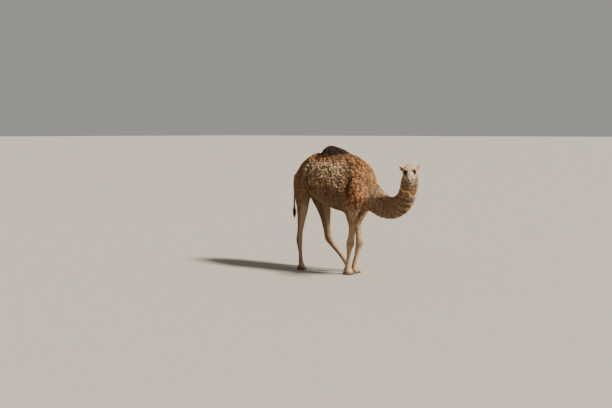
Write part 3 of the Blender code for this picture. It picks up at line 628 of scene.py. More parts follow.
def body_marks(points, place, patchy, fine):
    """The dark, warm and pale marks of the body, with painted shade and highlight, and the bare pads."""
    x, y, z = points.T
    neck, legs, hind = place.share("neck"), place.share(*LEGS), place.share(*HINDLEGS)
    body = 1 - place.share("skull", "jaw") - neck
    broad = smoothstep(0.06, 0.16, np.abs(y))

    cap = smoothstep(1.865, 1.930, z + 0.024 * patchy + 0.014 * fine - 0.12 * np.abs(x - 0.02))
    ridge = smoothstep(0.10, 0.03, np.abs(y) + 0.02 * patchy) * smoothstep(1.66, 1.80, z)
    ridge = ridge * smoothstep(-0.66, -0.50, x) * smoothstep(0.62, 0.42, x) * (0.75 + 0.25 * fine)
    # painted shade: a dark band in the hollow behind the shoulder blade, where the shoulder shades the
    # flank
    shade_behind_shoulder = side_bell(points, SHOULDER_LINE, 0.046 + 0.026 * patchy) * broad
    shade_behind_shoulder = shade_behind_shoulder * (0.70 + 0.30 * fine) * smoothstep(1.12, 1.40, z)
    # painted shade: a dark band in the crease where the flank meets the thigh
    shade_before_thigh = side_bell(points, THIGH_LINE, 0.050) * broad
    # painted shade: the body's underside darker
    underside_shade = smoothstep(1.26, 1.08, z) * smoothstep(0.85, 0.70, x) * (1 - legs)
    # painted shade: the flank darker below its widest part
    lower_flank_shade = smoothstep(1.50, 1.34, z + 0.04 * patchy) * smoothstep(0.46, 0.34, x)
    round_hump = smoothstep(1.80, 1.90, z + 0.02 * patchy)
    # painted shade: the rump darker on the side away from the light
    rump = smoothstep(-0.22, -0.50, x + 0.04 * patchy) * smoothstep(1.20, 1.50, z)
    dark = body * strongest(
        (0.95, cap), (0.80, ridge), (0.85, shade_behind_shoulder), (0.55, shade_before_thigh), (0.30, underside_shade),
        (0.35, round_hump), (0.36, rump), (0.22, lower_flank_shade),
    )
    tuft = place.share("tail") * smoothstep(0.62, 0.74, place.on("tail")[0])
    fold, held, throat = pleats(place)
    # painted shade in the valleys between the neck's folds, deepest towards the throat
    pleat_shade = held * smoothstep(0.25, -0.85, fold) * (0.4 + 0.6 * throat)
    dark = np.maximum(dark, strongest((0.92, tuft), (0.48, pleat_shade)))

    warm = body * smoothstep(1.72, 1.88, z) * (0.50 + 0.25 * patchy)
    warm = warm + 0.85 * body * smoothstep(-0.46, -0.66, x) * smoothstep(1.15, 1.6, z)
    warm = warm + 0.75 * body * smoothstep(0.46, 0.62, x) * smoothstep(1.05, 1.30, z)

    # the hind legs take less cream, partly their own browner coat and partly painted shade; their fronts
    # are cream, partly the coat's colour and partly a painted highlight where light falls on them
    low = (legs - 0.86 * hind) * smoothstep(1.00, 0.60, z + 0.05 * patchy) * (0.60 + 0.18 * fine)
    shin = smoothstep(0.0, 0.7, front_of(place, HINDLEGS)) * smoothstep(1.22, 1.04, z)
    # the neck paler on its upper side: partly cream coat and partly a painted highlight where light falls
    # on its top
    dorsal = smoothstep(0.84, 0.995, np.sin(place.on("neck")[1]))
    crest = neck * (0.10 + 0.60 * dorsal) * (0.85 + 0.15 * patchy)
    # painted highlight: the upper flank paler where light falls on it
    upper_flank_highlight = smoothstep(1.42, 1.64, z + 0.04 * patchy) * smoothstep(1.88, 1.76, z)
    upper_flank_highlight = upper_flank_highlight * smoothstep(-0.50, -0.34, x) * smoothstep(0.46, 0.30, x)
    elbow = bump(points * (1, 0, 1), (0.60, 0, 1.00), (0.080, 1, 0.095))
    elbow = elbow * smoothstep(0.12, 0.2, np.abs(y))
    pale = strongest((1, low), (0.85, shin), (1, crest), (0.54 * upper_flank_highlight, body), (0.9, elbow))

    knee = smoothstep(0.1, 0.8, front_of(place, FORELEGS))
    knee = knee * bump(points * (0, 0, 1), (0, 0, 0.500), (1, 1, 0.040))
    chest = bump(points, (0.360, 0.0, 0.965), (0.10, 0.075, 0.045))
    bare = strongest((1, chest), (0.5, knee), (0.8 * legs, smoothstep(0.075, 0.030, z)))
    return dark, warm, pale, bare


def marks(points, place):
    """How much each point of the body takes of each colour, from 0 to 1.

    dark is the brown-black of the hump's cap and the tail's tuft, and painted shade behind the shoulder,
    before the thigh, under the body and head, round the eyes, down the muzzle and in the neck's folds;
    warm the rusty back; pale the cream of the legs and the forehead, and a painted highlight on the
    upper flank, the neck's upper side and the hind legs' fronts; grey the muzzle's mouse grey and bare
    the leathery pads."""
    patchy, fine = wavy(points, 0.16, 11), wavy(points, 0.05, 12)
    dark, warm, pale, bare = body_marks(points, place, patchy, fine)
    head = place.share("skull", "jaw")
    local, mirrored = on_head(points)
    pale = np.maximum(pale, head * (0.70 + 0.25 * smoothstep(-0.02, 0.06, local[:, 2])))
    grey = head * smoothstep(0.27, 0.38, local[:, 0] + 0.02 * fine) * 0.85 + 0.08 * place.share("neck")
    # dark round the eyes: dark lids and lashes, and painted shade under the brow
    socket = bump(mirrored, (0.200, 0.058, 0.028), (0.052, 0.058, 0.042))
    socket = smoothstep(0.06, 0.62, socket + 0.05 * fine)
    # painted shade: a dark line from each eye down the side of the muzzle
    muzzle_side_shade = smoothstep(0.021, 0.003, to_segment(mirrored, (0.215, 0.066, 0.014), (0.395, 0.050, -0.034)))
    # painted shade in the nostrils' slits and along the line where the lips meet
    nostril = smoothstep(0.016, 0.005, to_segment(mirrored, (0.486, 0.020, 0.000), (0.450, 0.038, 0.022)))
    lips = smoothstep(0.012, 0.004, from_line(mirrored, LIP_LINE))
    # painted shade under the head, towards the throat
    throat = smoothstep(-0.085, -0.125, local[:, 2]) * smoothstep(0.02, 0.12, local[:, 0])
    face = strongest((1, socket), (0.68, muzzle_side_shade), (1, nostril), (0.92, lips), (0.6, throat))
    dark = np.maximum(dark, head * face)

    on_ear = ear_reach(local)
    warm = np.where(on_ear >= 0, 0.9, warm)
    pale = np.where(on_ear >= 0, 0.15, pale)
    dark = np.where(on_ear >= 0, 0.55 * smoothstep(0.75, 1.0, on_ear), dark)
    values = {"dark": dark, "warm": warm, "pale": pale, "grey": grey, "bare": bare}
    return {name: np.clip(value, 0, 1) for name, value in values.items()}


# ---- meshes --------------------------------------------------------------------------------------
def rings_to_quads(rings, corners, start=0):
    """Quads between rings of that many corners, each ring closed on itself."""
    low = start + np.arange(rings - 1)[:, None] * corners + np.arange(corners)[None]
    beside = np.roll(low, -1, axis=1)
    return np.stack([low, beside, beside + corners, low + corners], -1).reshape(-1, 4)


def new_mesh(name, points, *face_sets):
    """A smooth mesh from an array of points and arrays of faces, each with its own corner count."""
    points = np.asarray(points, np.float32).reshape(-1, 3)
    corners = np.concatenate([faces.ravel() for faces in face_sets])
    sizes = np.concatenate([np.full(len(faces), faces.shape[1]) for faces in face_sets])
    mesh = bpy.data.meshes.new(name)
    mesh.vertices.add(len(points))
    mesh.vertices.foreach_set("co", points.ravel())
    mesh.loops.add(len(corners))
    mesh.loops.foreach_set("vertex_index", corners.astype(np.int32))
    mesh.polygons.add(len(sizes))
    mesh.polygons.foreach_set("loop_start", (sizes.cumsum() - sizes).astype(np.int32))
    mesh.update(calc_edges=True)
    mesh.polygons.foreach_set("use_smooth", np.ones(len(sizes), bool))
    return mesh


def new_object(name, mesh):
    """An object in the scene that holds the mesh."""
    obj = bpy.data.objects.new(name, mesh)
    bpy.context.scene.collection.objects.link(obj)
    return obj


def tubes(name, shapes):
    """One mesh of closed tubes, each given as rings of points, with flat ends."""
    points, quads, ends = [], [], []
    start = 0
    for shape in shapes:
        rings, corners = shape.shape[:2]
        points.append(shape.reshape(-1, 3))
        quads.append(rings_to_quads(rings, corners, start))
        first = start + np.arange(corners)
        ends += [(corners, first[::-1][None]), (corners, (first + (rings - 1) * corners)[None])]
        start += rings * corners
    by_size = {size: np.concatenate([ring for count, ring in ends if count == size])
               for size in {count for count, _ in ends}}
    return new_mesh(name, np.concatenate(points), np.concatenate(quads), *by_size.values())


@contextmanager
def editing(mesh):
    """Opens a mesh for changes to its faces, then writes them back."""
    bm = bmesh.new()
    bm.from_mesh(mesh)
    yield bm
    bm.to_mesh(mesh)
    bm.free()


def recalculate(mesh):
    """Turns all faces outwards."""
    with editing(mesh) as bm:
        bmesh.ops.recalc_face_normals(bm, faces=bm.faces)
    return mesh


def finished_mesh(obj):
    """The object's mesh with its modifiers applied. The object is taken away."""
    bpy.context.view_layer.update()
    graph = bpy.context.evaluated_depsgraph_get()
    mesh = bpy.data.meshes.new_from_object(obj.evaluated_get(graph))
    bpy.data.objects.remove(obj)
    return mesh


def read(items, key, width, kind=np.float32):
    """One property of all the items, as an array of rows."""
    values = np.empty(len(items) * width, kind)
    items.foreach_get(key, values)
    return values.reshape(-1, width)


def read_points(mesh):
    """Where the mesh's vertices are, one in each row."""
    return read(mesh.vertices, "co", 3).astype(float)


def write_points(mesh, points):
    """Moves the mesh's vertices to new places."""
    mesh.vertices.foreach_set("co", points.astype(np.float32).ravel())
    mesh.update()


def read_normals(mesh):
    """The way that the surface faces at each vertex."""
    return read(mesh.vertex_normals, "vector", 3).astype(float)


def relax(points, edges, share, rounds):
    """Moves each point that share of the way to the middle of its neighbours, again and again."""
    count = np.bincount(edges.ravel(), minlength=len(points))[:, None]
    for _ in range(rounds):
        total = np.stack([
            np.bincount(edges[:, 0], points[edges[:, 1], axis], len(points))
            + np.bincount(edges[:, 1], points[edges[:, 0], axis], len(points))
            for axis in range(3)
        ], 1)
        points = points + share * (total / np.maximum(count, 1) - points)
    return points


def add_values(mesh, values):
    """Stores named numbers on the mesh's vertices."""
    for name, value in values.items():
        layer = mesh.attributes.new(name, "FLOAT", "POINT")
        layer.data.foreach_set("value", value.astype(np.float32))


def set_down(mesh):
    """Moves a mesh from the body's own frame to the one the solids stand in."""
    write_points(mesh, read_points(mesh) + SHIFT)


# ---- the skin ------------------------------------------------------------------------------------
SKIN_CELL = 0.0145       # of the remesh that joins the body's parts
SKIN_ROUNDS = 40         # of relaxing the joined trunk
LIMB_SHARE = 0.04        # how much of it the limbs, neck and head take
CLUMP = 0.041            # width of a lump of curls
FACE_START = 0.085       # along the head: the skin is finest past here
OPENING = (math.radians(52), math.radians(30))   # half length and height of the lids' almond
GAZE = unit(np.array((0.30, 0.93, 0.16)))    # which way the left eye looks, on the head


def body_shapes():
    """The closed tubes that make up the body."""
    shapes = [LINES[name].tube() for name in PARTS]
    shapes.append(Line(bead_rows(*CHEST_PAD), steps=2).tube())
    for place, half_length, half_width, instep in FEET.values():
        for side in (1, -1):
            shapes.append(Line(toe_rows(place, half_length, half_width, instep, side)).tube())
    for side in (1, -1):
        place = (BROW[0], BROW[1] * side, BROW[2])
        shapes.append(Line(bead_rows(place, BROW_REACH), matrix=HEAD, steps=2).tube(16))
    return shapes


def ear_shape(name):
    """A cupped leaf: an oval carried along the ear, whose rims curl forwards as cos squared."""
    root, way, length = EARS[name]
    way = unit(np.array(way))
    breadth = unit(np.cross(way, EAR_FACING))
    facing = np.cross(breadth, way)
    share, wide, thick, curl = (column[:, None, None] for column in smooth_rows(EAR_ROWS, 4).T)
    c, s = (wave(full_turn(20))[None, :, None] for wave in (np.cos, np.sin))
    place = np.array(root) + way * length * share
    shape = place + breadth * wide * c + facing * (thick * s + curl * (c**2 - 0.35))
    return out_of_head(shape)


def softness(points):
    """How much of the relaxing each point takes: all of it on the trunk, little on the limbs."""
    x, z = points[:, 0], points[:, 2]
    trunk = smoothstep(0.95, 1.10, z) * (1 - smoothstep(0.85, 1.05, x)) * smoothstep(-0.82, -0.80, x)
    return LIMB_SHARE + (1 - LIMB_SHARE) * trunk


def joined_body():
    """All the body's tubes as one closed surface, relaxed where flesh runs over the joins."""
    obj = new_object("join", recalculate(tubes("join", body_shapes())))
    remesh = obj.modifiers.new("join", "REMESH")
    remesh.mode = "VOXEL"
    remesh.voxel_size = SKIN_CELL
    mesh = finished_mesh(obj)
    points, edges = read_points(mesh), read(mesh.edges, "vertices", 2, np.int32)
    share = 0.5 * softness(points)[:, None]
    write_points(mesh, relax(points, edges, share, SKIN_ROUNDS))
    return mesh


def lowered(mesh):
    """Sinks the surface by the coat's depth and cuts the soles flat on the floor."""
    points, normals = read_points(mesh), read_normals(mesh)
    depth = coat_numbers(Anatomy(points))["depth"][:, None]
    edges = read(mesh.edges, "vertices", 2, np.int32)
    write_points(mesh, relax(points - normals * depth, edges, 0.3, 2))
    with editing(mesh) as bm:
        everything = bm.verts[:] + bm.edges[:] + bm.faces[:]
        floor = {"plane_co": (0, 0, 0), "plane_no": (0, 0, 1)}
        bmesh.ops.bisect_plane(bm, geom=everything, **floor, clear_inner=True)
        rims = [edge for edge in bm.edges if edge.is_boundary]
        bmesh.ops.holes_fill(bm, edges=rims, sides=0)
        bmesh.ops.triangulate(bm, faces=[face for face in bm.faces if len(face.verts) > 4])
    return mesh


def with_ears(mesh):
    """The head and its ears as one surface."""
    obj = new_object("skin", mesh)
    ears = new_object("ears", recalculate(tubes("ears", [ear_shape(name) for name in EARS])))
    union = obj.modifiers.new("ears", "BOOLEAN")
    union.operation = "UNION"
    union.solver = "EXACT"
    union.object = ears
    mesh = finished_mesh(obj)
    bpy.data.objects.remove(ears)
    return mesh


def refine(mesh, wanted):
    """Halves the edges of all faces whose corners are all wanted."""
    with editing(mesh) as bm:
        faces = [face for face in bm.faces if all(wanted[corner.index] for corner in face.verts)]
        edges = sorted({edge for face in faces for edge in face.edges}, key=lambda edge: edge.index)
        bmesh.ops.subdivide_edges(bm, edges=edges, cuts=1, use_grid_fill=True)
        bmesh.ops.triangulate(bm, faces=[face for face in bm.faces if len(face.verts) > 4])
    return mesh


def ear_reach(local):
    """How far out on an ear points of the head lie: 0 at its root, 1 at its tip, below 0 off it."""
    reach = np.full(len(local), -1.0)
    outside = SKULL_LINE.places(local)[0] > 0.965
    for root, way, length in EARS.values():
        away = local - np.array(root)
        along = away @ unit(np.array(way))
        aside = np.linalg.norm(away - along[:, None] * unit(np.array(way)), axis=1)
        mine = (aside < 0.034) & (along > 0.012) & outside
        reach = np.where(mine, np.maximum(reach, along / length), reach)
    return reach


# Shapes of the face, on the head's left half: from, to, how wide they are, how far they stand out.
FACE_FORMS = (
    ((0.225, 0.066, 0.016), (0.262, 0.064, 0.006), 0.016, -0.0060),     # hollow before the eye
    ((0.205, 0.078, -0.006), (0.285, 0.066, -0.016), 0.016, 0.0060),    # cheekbone
    ((0.090, 0.085, -0.050), (0.135, 0.080, -0.072), 0.036, 0.0070),    # cheek
    ((0.120, 0.090, 0.062), (0.085, 0.090, 0.040), 0.024, -0.0050),     # temple
    ((0.150, 0.072, 0.076), (0.195, 0.062, 0.072), 0.014, 0.0040),      # brow
    ((0.300, 0.030, 0.085), (0.400, 0.028, 0.078), 0.014, 0.0030),      # edge of the nose
    ((0.448, 0.038, 0.024), (0.470, 0.032, 0.012), 0.016, 0.0060),      # nostril's wing
    ((0.486, 0.019, -0.001), (0.452, 0.042, 0.024), 0.0052, -0.0110),   # nostril's slit
    ((0.468, 0.026, -0.026), (0.430, 0.046, -0.032), 0.014, 0.0050),    # upper lip
    ((0.500, 0.000, 0.002), (0.489, 0.000, -0.036), 0.0045, -0.0060),   # the split in it
    ((0.448, 0.014, -0.086), (0.470, 0.000, -0.078), 0.018, 0.0045),    # chin
    ((0.300, 0.040, -0.098), (0.160, 0.050, -0.120), 0.018, -0.0030),   # between the jaws
)


LIP_GROOVE = (0.0065, 0.0055)    # how deep and how wide the lips' line is


def shape_face(points, normals):
    """Adds the face's bones, lips and nostrils: each a bell round a short line, moved outwards."""
    local, mirrored = on_head(points)
    move = np.zeros(len(points))
    for start, end, width, rise in FACE_FORMS:
        move += rise * bell(to_segment(mirrored, start, end), width)
    deep, wide = LIP_GROOVE
    move -= deep * bell(from_line(mirrored, LIP_LINE), wide)
    near = (local[:, 0] > -0.02) & (ear_reach(local) < 0)
    return points + normals * (move * near)[:, None]


def eye_axes(side):
    """An eye's middle, the way it looks, and its own forward and upward directions, on the head."""
    centre = EYE * (1, side, 1)
    gaze = GAZE * (1, side, 1)
    ahead = np.array((1.0, 0.0, -0.28))
    ahead = unit(ahead - (ahead @ gaze) * gaze)
    up = np.cross(gaze, ahead)
    return centre, gaze, ahead, up * np.sign(up[2])


def almond_share(outward, side):
    """How far out of the lids' almond a direction from the eye lies: 1 is on its edge."""
    _, gaze, ahead, up = eye_axes(side)
    off = np.arccos(np.clip(outward @ gaze, -1, 1))
    x, y = outward @ ahead, outward @ up
    flat = np.hypot(x, y) + 1e-9
    along, high = off * x / flat / OPENING[0], off * y / flat / OPENING[1]
    reach = np.hypot(along, high) + 1e-9
    return np.hypot(along, high / (1 - 0.25 * (along / reach) ** 2))


def almond_direction(reach, angle, side):
    """The directions from the eye that lie at that share of the almond, going round it."""
    _, gaze, ahead, up = eye_axes(side)
    along = reach * np.cos(angle) * OPENING[0]
    high = reach * np.sin(angle) * OPENING[1] * (1 - 0.25 * np.cos(angle) ** 2)
    off = np.hypot(along, high) + 1e-9
    aside = along[..., None] * ahead + high[..., None] * up
    return np.cos(off)[..., None] * gaze + (np.sin(off) / off)[..., None] * aside


LID_DOME = 0.0026        # the skin over an eyeball stands this far off it
LID_FOLD = 0.0018        # depth of the crease round the lids


def shape_lids(points):
    """Domes the skin over each eyeball and opens it in an almond, where it sinks behind the ball."""
    local = in_head(points)
    for side in (1, -1):
        centre, gaze, _, _ = eye_axes(side)
        away = local - centre
        distance = np.linalg.norm(away, axis=1)
        outward = away / distance[:, None]
        over = smoothstep(-0.05, 0.35, outward @ gaze)
        reach = almond_share(outward, side)
        fold = LID_FOLD * bell(reach - 1.75, 0.22)
        dome = EYE_RADIUS + LID_DOME - fold
        near = smoothstep(1.75, 1.20, distance / EYE_RADIUS) * over
        inside = (reach < 1.06) & (distance < 2.2 * EYE_RADIUS)
        wanted = np.where(inside, 0.62 * EYE_RADIUS, dome)
        pull = np.where(inside, over, near)
        local = local + outward * ((wanted - distance) * pull)[:, None]
    return out_of_head(local)


FOLD_HEIGHT = 0.0060     # of the pleats across the neck, either way
RIB_GAP = 0.075          # from one rib to the next
RIB_HEIGHT = 0.0022
LUMP_HEIGHT = (0.013, 0.007)     # of the lumps of wool, on the flank and before the shoulder
TENDON_DEPTH = 0.0025    # of the hollows beside the tendons


def shape_body(points, normals, place):
    """Adds neck folds, the hollows round the shoulder and flank, ribs, lumps of wool and tendons."""
    x, y, z = points.T
    trunk, legs = place.share("trunk", "hump"), place.share(*LEGS)
    broad = smoothstep(0.10, 0.22, np.abs(y))

    fold, held, throat = pleats(place)
    move = held * (0.6 + 0.4 * wavy(points, 0.35, 23)) * (0.25 + 0.75 * throat) * FOLD_HEIGHT * fold

    hollow = side_bell(points, SHOULDER_LINE, 0.050) * broad
    haunch = side_bell(points, THIGH_LINE, 0.050) * broad
    blade = bump(points * (1, 0, 1), (0.66, 0, 1.50), (0.10, 1, 0.20)) * broad
    move += trunk * (-0.016 * hollow - 0.012 * haunch + 0.008 * blade)
    ribs = np.cos(math.tau * (x + 0.22 * (z - 1.4)) / RIB_GAP)
    ribbed = smoothstep(-0.26, -0.14, x) * smoothstep(0.26, 0.16, x)
    ribbed = ribbed * bump(points * (0, 0, 1), (0, 0, 1.38), (1, 1, 0.17)) * broad
    move += trunk * RIB_HEIGHT * ribs * ribbed

    gap, _, shared = clumps(points, CLUMP)
    lump = (1 - np.clip(gap, 0, 1) ** 2) * (0.45 + 1.1 * shared) - 0.5
    behind, before = LUMP_HEIGHT
    height = behind - (behind - before) * smoothstep(0.44, 0.56, x)
    move += curly(points, place) * height * lump + 0.004 * trunk * wavy(points, 0.17, 22)
    tendon = np.abs(np.cos(place.on("foreleg_left")[1])) * legs
    low = smoothstep(0.46, 0.40, z) * smoothstep(0.16, 0.22, z)
    move -= TENDON_DEPTH * tendon * low * legs
    return points + normals * move[:, None]


def build_skin():
    """The whole skin: joined, sunk under the coat, with its ears, refined and shaped."""
    mesh = with_ears(lowered(joined_body()))
    points = read_points(mesh)
    place = Anatomy(points)
    bend = (place.share("neck") > 0.6) & (place.on("neck")[0] > 0.30)
    fine = (place.share("skull", "jaw") > 0.5) | bend
    mesh = refine(mesh, fine & (ear_reach(in_head(points)) < 0))
    x, y, z = in_head(read_points(mesh)).T
    mesh = refine(mesh, (x > FACE_START) & (x < 0.60) & (np.abs(y) < 0.20) & (np.abs(z) < 0.22))
    points = read_points(mesh)
    loose = 0.5 * (points[:, 2] > 0.004) * (ear_reach(in_head(points)) < 0)
    points = relax(points, read(mesh.edges, "vertices", 2, np.int32), loose[:, None], 2)
    write_points(mesh, points)
    points = shape_body(points, read_normals(mesh), Anatomy(points))
    write_points(mesh, points)
    points = shape_lids(shape_face(points, read_normals(mesh)))
    points[:, 2] = np.maximum(points[:, 2], 0.0)
    write_points(mesh, points)
    return mesh


# ---- finishes ------------------------------------------------------------------------------------
def linear(hex_colour):
    """An sRGB hex colour as linear red, green, blue and alpha."""
    parts = [int(hex_colour[k:k + 2], 16) / 255 for k in (1, 3, 5)]
    return tuple(v / 12.92 if v <= 0.04045 else ((v + 0.055) / 1.055) ** 2.4 for v in parts) + (1.0,)


def opaque(colour):
    """The colour with alpha 1."""
    return (*colour, 1.0)


GRAIN = 1000.0           # scale of a noise whose grain is 1 mm
STRIPES = 1000 / 6.28    # scale of a wave whose light and dark stripes are 1 mm wide each


def node(tree, kind, inputs=(), out=0, **settings):
    """Adds a node with its settings and links, and gives one of its outputs.

    Each input is a value or the socket that feeds it."""
    made = tree.nodes.new("ShaderNode" + kind)
    for name, value in settings.items():
        setattr(made, name, value)
    for key, value in dict(inputs).items():
        if isinstance(value, bpy.types.NodeSocket):
            tree.links.new(value, made.inputs[key])
        else:
            made.inputs[key].default_value = value
    return made.outputs[out]


SHARE, UNDER, OVER, MIXED = 0, 6, 7, 2       # sockets of a Mix node for colours


def layered(tree, colour, *layers):
    """Lays more colours over one, each by its share: a socket or the name of a mark."""
    for share, over in layers:
        if isinstance(share, str):
            share = node(tree, "Attribute", out="Fac", attribute_name=share)
        inputs = {SHARE: share, UNDER: colour, OVER: over}
        colour = node(tree, "Mix", inputs, MIXED, data_type="RGBA")
    return colour


def new_material(name, roughness, specular, **more):
    """A material whose shader has those plain values, and its nodes."""
    material = bpy.data.materials.new(name)
    material.use_nodes = True
    shader = material.node_tree.nodes["Principled BSDF"]
    values = {"Roughness": roughness, "Specular IOR Level": specular, **more}
    for key, value in values.items():
        shader.inputs[key].default_value = value
    return material, material.node_tree


def show(tree, colour, height=None, depth=0.0):
    """Ends a material with its colour and, if it has one, a relief that many mm deep."""
    shader = tree.nodes["Principled BSDF"]
    tree.links.new(colour, shader.inputs["Base Color"])
    if height is not None:
        relief = node(tree, "Bump", {"Height": height, "Distance": depth * MM})
        tree.links.new(relief, shader.inputs["Normal"])


def camel_hair(name, colours, hair_size, depth, sheen):
    """Camel hair, which is dull, dense and finer than the eye sees: rough, with a faint sheen.

    One colour is laid over another by the marks on the surface. Tips are faded by the sun, roots are
    deep in painted shade and every lock has its own tone, darker as painted shade in the gaps between
    clumps. Noise drawn out downwards stands for the hairs, much coarser than they are so that it shows."""
    soft_glow = {"Sheen Weight": sheen, "Sheen Roughness": 0.5}
    material, tree = new_material(name, 0.88, 0.18, **soft_glow)
    place = node(tree, "TexCoord", out="Object")
    mottle = node(tree, "TexNoise", {"Vector": place, "Scale": GRAIN / 26, "Detail": 3.0})
    soft = node(tree, "MapRange", {0: mottle, 1: 0.35, 2: 0.68, 3: 0.0, 4: 1.0})
    flanks = opaque(colours.flank_low), (soft, opaque(colours.flank_high))
    marked = [(mark, opaque(getattr(colours, mark))) for mark in ("warm", "pale", "grey", "dark", "bare")]
    colour = layered(tree, *flanks, *marked)
    shades = []
    for mark, least, dim, bright in (("tone", -1.0, 0.34, 1.60), ("tip", 0.0, 0.38, 1.22)):
        value = node(tree, "Attribute", out="Fac", attribute_name=mark)
        shades.append(node(tree, "MapRange", {0: value, 1: least, 2: 1.0, 3: dim, 4: bright}))
    light = node(tree, "Math", {0: shades[0], 1: shades[1]}, operation="MULTIPLY")
    down = node(tree, "Mapping", {"Vector": place, "Scale": (1.0, 1.0, 0.22)})
    fine_noise = {"Vector": down, "Scale": GRAIN / hair_size, "Detail": 4.0, "Roughness": 0.65}
    fine = node(tree, "TexNoise", fine_noise)
    hairs = node(tree, "MapRange", {0: fine, 1: 0.30, 2: 0.70, 3: 0.72, 4: 1.22})
    light = node(tree, "Math", {0: light, 1: hairs}, operation="MULTIPLY")
    grey = node(tree, "CombineColor", {0: light, 1: light, 2: light})
    inputs = {SHARE: 1.0, UNDER: colour, OVER: grey}
    colour = node(tree, "Mix", inputs, MIXED, data_type="RGBA", blend_type="MULTIPLY")
    show(tree, colour, fine, depth)
    return material


def eye_material(colours):
    """A wet eye: near-black iris behind a smooth clear surface, so it shows sharp highlights."""
    material, tree = new_material("wet_eye", 0.03, 0.45)
    place = node(tree, "TexCoord", out="Object")
    strands = node(tree, "TexNoise", {"Vector": place, "Scale": GRAIN / 1.2, "Detail": 2.0})
    iris = layered(tree, opaque(colours.iris), (strands, linear("#120A07")))
    show(tree, layered(tree, opaque(colours.eye_white), ("iris", iris), ("pupil", linear("#050404"))))
    return material


def horn_material(colours):
    """Toenail: worn horn, half dull, with fine ridges along it and pale scuffed edges."""
    material, tree = new_material("worn_horn", 0.42, 0.45)
    place = node(tree, "TexCoord", out="Object")
    wave = {"Vector": place, "Scale": STRIPES / 2.5, "Distortion": 2.0}
    ridges = node(tree, "TexWave", wave, "Fac", bands_direction="Y")
    stain = node(tree, "TexNoise", {"Vector": place, "Scale": GRAIN / 8, "Detail": 3.0})
    colour = layered(tree, opaque(colours.nail), (stain, linear("#5D5044")), ("edge", linear("#8C7D69")))
    show(tree, colour, ridges, 0.3)
    return material


def lash_material():
    """Eyelash: stiff black hair with a slight gloss."""
    material, tree = new_material("lash_hair", 0.5, 0.4)
    show(tree, layered(tree, linear("#0E0908"), ("tip", linear("#2E2019"))))
    return material


def webbing_material(colours):
    """Woven polyester strap: a fine basket weave, faded and dusty, a little shiny on its threads."""
    material, tree = new_material("polyester_webbing", 0.6, 0.35, **{"Sheen Weight": 0.15})
    weave = {"Vector": node(tree, "UVMap", uv_map="weave"), "Scale": STRIPES / 1.6}
    warp, weft = (node(tree, "TexWave", weave, "Fac", bands_direction=way) for way in ("X", "Y"))
    height = node(tree, "Math", {0: warp, 1: weft}, operation="MULTIPLY")
    place = node(tree, "TexCoord", out="Object")
    dust = node(tree, "TexNoise", {"Vector": place, "Scale": GRAIN / 35, "Detail": 4.0})
    dust = node(tree, "MapRange", {0: dust, 1: 0.45, 2: 0.75, 3: 0.0, 4: 0.7})
    woven = opaque(colours.webbing_shade), (height, opaque(colours.webbing))
    show(tree, layered(tree, *woven, (dust, linear("#A08A62"))), height, 0.4)
    return material


def cord_material(colours):
    """Braided polypropylene cord: slanting strands with a soft waxy shine."""
    material, tree = new_material("braided_cord", 0.5, 0.4, **{"Sheen Weight": 0.1})
    braid = node(tree, "UVMap", uv_map="weave")
    slant = node(tree, "Mapping", {"Vector": braid, "Rotation": (0, 0, math.radians(38))})
    strands = node(tree, "TexWave", {"Vector": slant, "Scale": STRIPES / 2.0}, "Fac", bands_direction="X")
    show(tree, layered(tree, linear("#3A1E4C"), (strands, opaque(colours.cord))), strands, 0.5)
    return material


def ground_material(colour):
    """Plain matt board."""
    more = {"Base Color": opaque(colour)}
    return new_material("matt_floor", 0.95, 0.1, **more)[0]


# ---- eyes, lids and lashes -----------------------------------------------------------------------
def put(name, mesh, material, replaced=()):
    set_down(mesh)
    mesh.materials.clear()
    mesh.materials.append(material)
    obj = new_object(name, mesh)
    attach(obj, "root")
    if replaced:
        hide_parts(*replaced)
    return obj


def add_uv(mesh, name, places):
    """Gives each vertex's place on a flat map to all the corners that meet there."""
    layer = mesh.uv_layers.new(name=name)
    corners = read(mesh.loops, "vertex_index", 1, np.int32)[:, 0]
    layer.data.foreach_set("uv", places[corners].astype(np.float32).ravel())


CORNEA_RISE = 0.0011
PUPIL = (0.30, 0.15)     # half width and half height, as shares of the eyeball's radius


def eyeball(side):
    """A ball whose radius grows by a small dome in front: the cornea."""
    centre, gaze, ahead, up = eye_axes(side)
    off = np.linspace(0.04, math.pi - 0.04, 30)[:, None]
    angle = full_turn(36)[None]
    radius = EYE_RADIUS + CORNEA_RISE * smoothstep(math.radians(40), 0.0, off)
    direction = (
        np.cos(off)[..., None] * gaze
        + np.sin(off)[..., None] * (np.cos(angle)[..., None] * ahead + np.sin(angle)[..., None] * up)
    )
    shape = centre + radius[..., None] * direction
    mesh = tubes("eyeball", [out_of_head(shape)])
    recalculate(mesh)
    x, y = np.sin(off) * np.cos(angle), np.sin(off) * np.sin(angle)
    pupil = smoothstep(1.15, 0.85, np.hypot(x / PUPIL[0], y / PUPIL[1]))
    iris = smoothstep(math.radians(43), math.radians(37), off + 0 * angle)
    add_values(mesh, {"pupil": pupil.ravel(), "iris": iris.ravel()})
    return mesh


# The lid's section, from its inner face round its rim to its outer edge and back:
# share of the almond, then height over the eyeball in mm.
LID_SECTION = (
    (1.10, 0.15),
    (0.97, 0.20),
    (0.93, 0.80),
    (0.95, 1.60),
    (1.02, 2.40),
    (1.12, 2.95),
    (1.24, 3.05),
    (1.38, 2.55),
    (1.46, 1.30),
    (1.25, 0.60),
)


